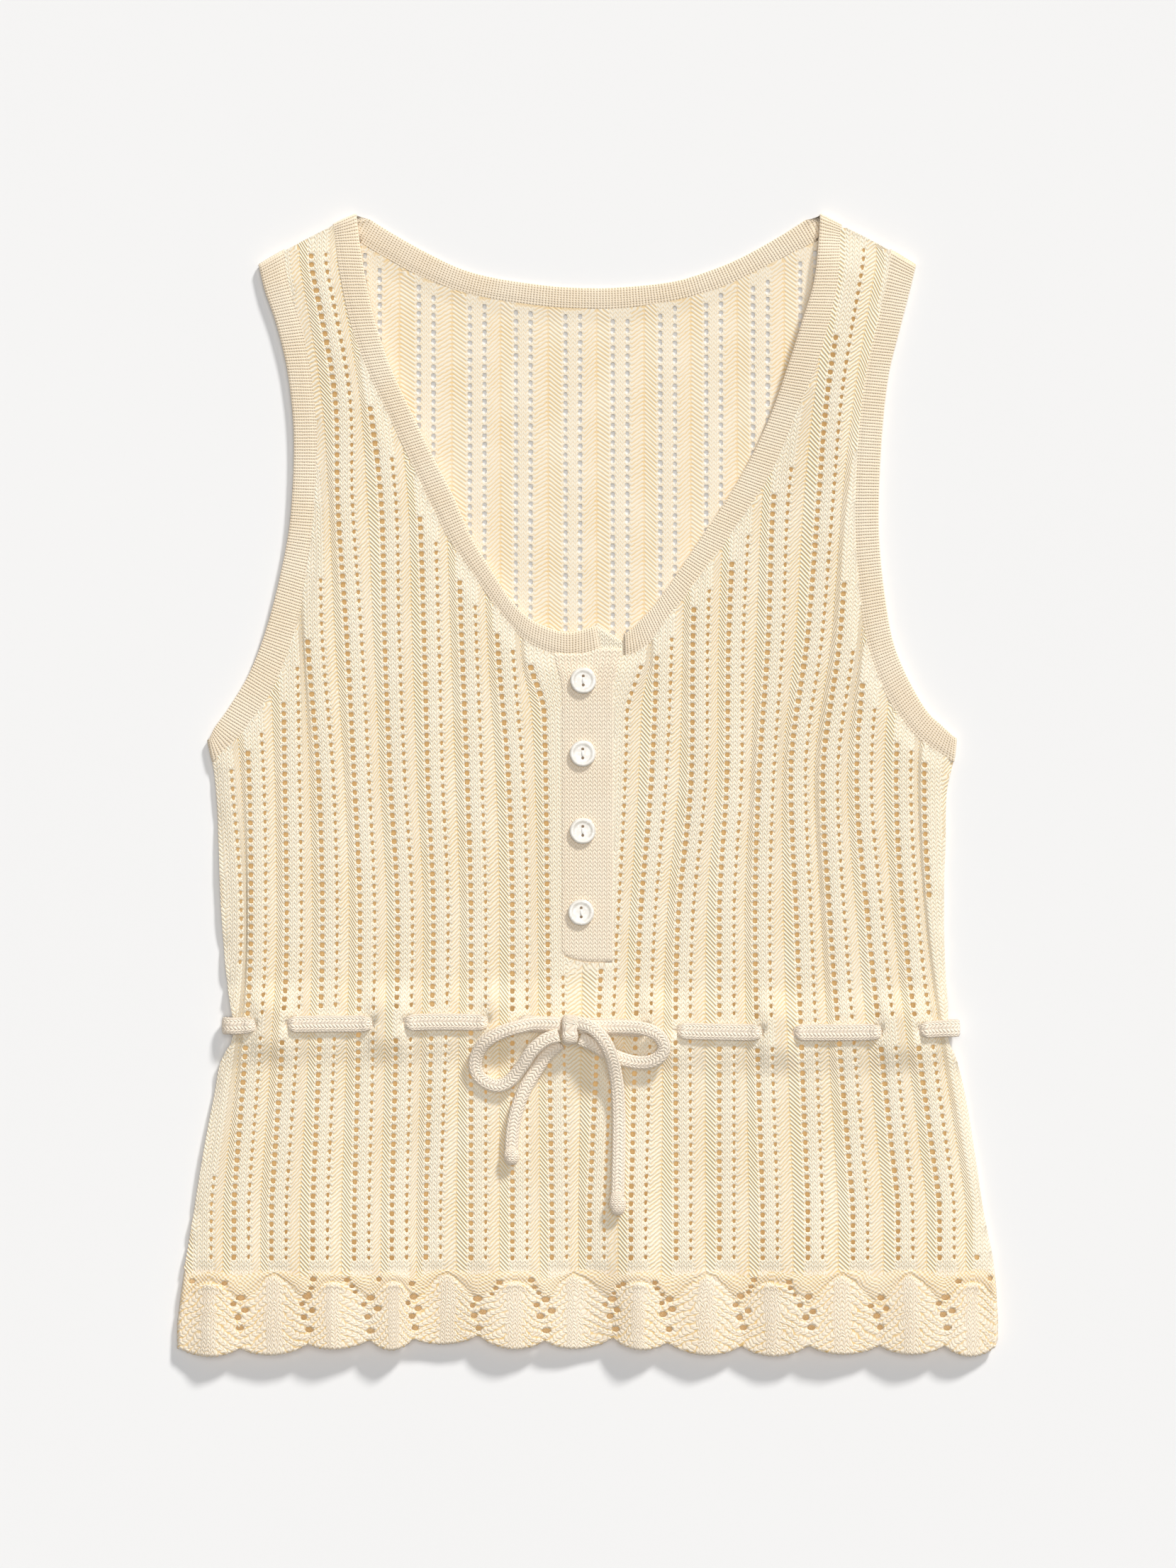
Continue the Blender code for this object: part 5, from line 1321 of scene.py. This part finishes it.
def cord_tube(path, wide, thick, ups, wales, course):
    """Rings of a flat oval cord along a path, and its stitch map."""
    ahead = np.gradient(path, axis=0)
    ahead /= np.linalg.norm(ahead, axis=1)[:, None]
    side = np.cross(ahead, ups)
    side /= np.linalg.norm(side, axis=1)[:, None]
    rise = np.cross(side, ahead)
    turns = np.linspace(0.0, 2 * math.pi, 25)
    c = np.sign(np.cos(turns)) * np.abs(np.cos(turns)) ** 0.8
    s = np.sign(np.sin(turns)) * np.abs(np.sin(turns)) ** 0.55
    rings = (path[:, None, :] + side[:, None, :] * (wide[:, None] / 2 * c[None, :])[:, :, None]
             + rise[:, None, :] * (thick / 2 * s[None, :])[None, :, :].reshape(1, -1, 1))
    along = np.concatenate([[0.0], np.cumsum(np.linalg.norm(np.diff(path, axis=0), axis=1))]) / course
    round_it = turns / (2 * math.pi) * 2 * wales
    shape = rings.shape[:2]
    marks = np.stack([np.broadcast_to(round_it, shape), np.broadcast_to(along[:, None], shape)], -1)
    rings[:, -1] = rings[:, 0]
    return tube(rings, marks)


def make_waist_cord(material):
    run = waist_run()
    path = run[:, :3]
    ups = np.column_stack([run[:, 4], np.zeros(len(run)), run[:, 5]])
    bm = cord_tube(path, run[:, 3], CORD_THICK, ups, 4, 2.0)
    piece(bm, "waist_cord", material, ("drawstring_waist",))


def make_tie(name, table, material, node):
    """A loop or free end of the bow, lying on the cloth."""
    flat = curve(table_points(table, "x", "y", "lift"), 2.0)
    path = np.array([(x, y, cloth_top_at(x, y) + GAP + TIE_THICK / 2 + lift) for x, y, lift in flat])
    for _ in range(6):
        path[1:-1, 2] = (path[:-2, 2] + path[1:-1, 2] * 2 + path[2:, 2]) / 4
    wide = np.full(len(path), TIE_WIDE)
    bm = cord_tube(path, wide, TIE_THICK, np.tile((0.0, 0.0, 1.0), (len(path), 1)), 3, 2.0)
    obj = piece(bm, name, material, (node,))


def make_knob(name, x, y, half_x, half_y, low, high, material, node, square, turn_over):
    """A knot: a squared-off ball with a groove where the cord crosses itself; turn_over slants the groove."""
    bm = bmesh.new()
    bmesh.ops.create_grid(bm, x_segments=40, y_segments=28, size=0.5)
    stitch = bm.loops.layers.uv.new("stitches")
    for f in bm.faces:
        for loop in f.loops:
            loop[stitch].uv = ((loop.vert.co.y + 0.5) * half_y * 1.3, (loop.vert.co.x + 0.5) * half_x * 3.0)
    for v in bm.verts:
        turn = (v.co.x + 0.5) * 2 * math.pi
        tilt = v.co.y * math.pi
        spot = (math.cos(turn) * math.cos(tilt), math.sin(tilt), math.sin(turn) * math.cos(tilt))
        spot = [math.copysign(abs(c) ** square, c) for c in spot]
        groove = 1.0 - 0.16 * math.exp(-((spot[1] - turn_over * spot[0] - 0.1) / 0.15) ** 2)
        v.co = Vector((spot[0] * half_x * groove + x, spot[1] * half_y + y,
                       spot[2] * (high - low) / 2 * groove + (high + low) / 2)) * MM
    bmesh.ops.remove_doubles(bm, verts=bm.verts, dist=1e-6)
    bmesh.ops.recalc_face_normals(bm, faces=bm.faces)
    return piece(bm, name, material, (node,))


def make_bow(material):
    for side, x, y, half_x, half_y in END_KNOTS:
        rest = cloth_top_at(x, y) + GAP
        make_knob(f"cord_end_{side}", x, y, half_x, half_y, rest, rest + 5.4, material,
                                f"end_knot_{side}", 0.92, 0.7)
    base = cloth_top_at(*KNOT) + GAP
    make_knob("bow_wrap", KNOT[0], KNOT[1], 4.5, 7.9, base, base + 9.2, material, "bow_knot", 0.5, 0.0)
    make_tie("loop_left", LOOP_LEFT, material, "bow_loop_left")
    make_tie("loop_right", LOOP_RIGHT, material, "bow_loop_right")
    make_tie("tail_left", TAIL_LEFT, material, "bow_tail_left")
    make_tie("tail_right", TAIL_RIGHT, material, "bow_tail_right")


# The room

def make_floor():
    bm = bmesh.new()
    bmesh.ops.create_grid(bm, x_segments=1, y_segments=1, size=6.0)
    bmesh.ops.translate(bm, verts=bm.verts, vec=(0, 0, -0.0002))
    mesh = bpy.data.meshes.new("floor")
    bm.to_mesh(mesh)
    bm.free()
    dye = Dye("paper", 0.9)
    dye.finish(dye.tint(dye.noise(3.0), (0.85, 0.846, 0.838), (0.864, 0.86, 0.852)), dye.noise(900.0), 0.02, 0.3)
    mesh.materials.append(dye.mat)
    floor = bpy.data.objects.new("floor", mesh)
    bpy.context.scene.collection.objects.link(floor)


def make_light():
    """A window beyond the top right, a wide soft light overhead and a little from the room all round."""
    world = bpy.data.worlds.new("room")
    world.use_nodes = True
    background = world.node_tree.nodes["Background"]
    background.inputs["Color"].default_value = (0.98, 0.99, 1.0, 1.0)
    background.inputs["Strength"].default_value = 0.17
    bpy.context.scene.world = world
    for name, to_light, energy, spread, color in (("window", (0.44, 0.80, 0.46), 3.25, 8.0, (1.0, 0.99, 0.975)),
                                                  ("overhead", (0.05, 0.1, 1.0), 1.40, 40.0, (0.99, 0.99, 1.0))):
        sun = bpy.data.lights.new(name, "SUN")
        sun.energy = energy
        sun.angle = math.radians(spread)
        sun.color = color
        lamp = bpy.data.objects.new(name, sun)
        lamp.rotation_euler = Vector(to_light).normalized().to_track_quat("Z", "Y").to_euler()
        bpy.context.scene.collection.objects.link(lamp)


def make_camera():
    data = bpy.data.cameras.new("camera")
    data.sensor_width = 36.0
    data.lens = data.sensor_width * CAMERA_AWAY / (PHOTO_TALL * PHOTO_SCALE * MM)
    cam = bpy.data.objects.new("camera", data)
    cam.location = (0.0002, 0.0, CAMERA_AWAY + 0.005)
    bpy.context.scene.collection.objects.link(cam)
    bpy.context.scene.camera = cam
    bpy.context.scene.view_settings.view_transform = "Standard"


def main():
    pointelle = pointelle_yarn("pointelle_knit")
    inside_knit = pointelle_yarn("inside_knit", True)
    plain = plain_yarn()
    placket_knit = plain_yarn("placket_knit", 0.4, YARN_PLACKET, -0.2)
    band = band_yarn()
    lace = lace_yarn()
    cord = plain_yarn("cord_knit", 0.5, YARN_CORD, -0.35, 0.5)
    left = make_front_half("front_knit_left", 0, 9, ("front_panel",), pointelle)
    right = make_front_half("front_knit_right", 10, 19, ("front_panel",), pointelle)
    hem = make_lace("front_lace", front_face, 0.0, lace, True, "front_panel")
    back = make_back(inside_knit, pointelle)
    back_hem = make_lace("back_lace", back_face, BACK_HEM_SHORT, lace_inside(), False, "back_panel", lace)
    make_armband("arm_rib_left", ARMBAND_LEFT, -1, band, "armband_left")
    make_armband("arm_rib_right", ARMBAND_RIGHT, 1, band, "armband_right")
    make_neckband(band)
    make_placket(placket_knit, plain)
    pearly = pearl()
    sewing = thread()
    dark = shade()
    for number, (x, y) in enumerate(zip(BUTTONS["x"], BUTTONS["y"]), start=1):
        make_button(number, x, y, pearly, sewing, dark)
    make_waist_cord(cord)
    make_bow(cord)
    make_floor()
    make_light()
    make_camera()


main()
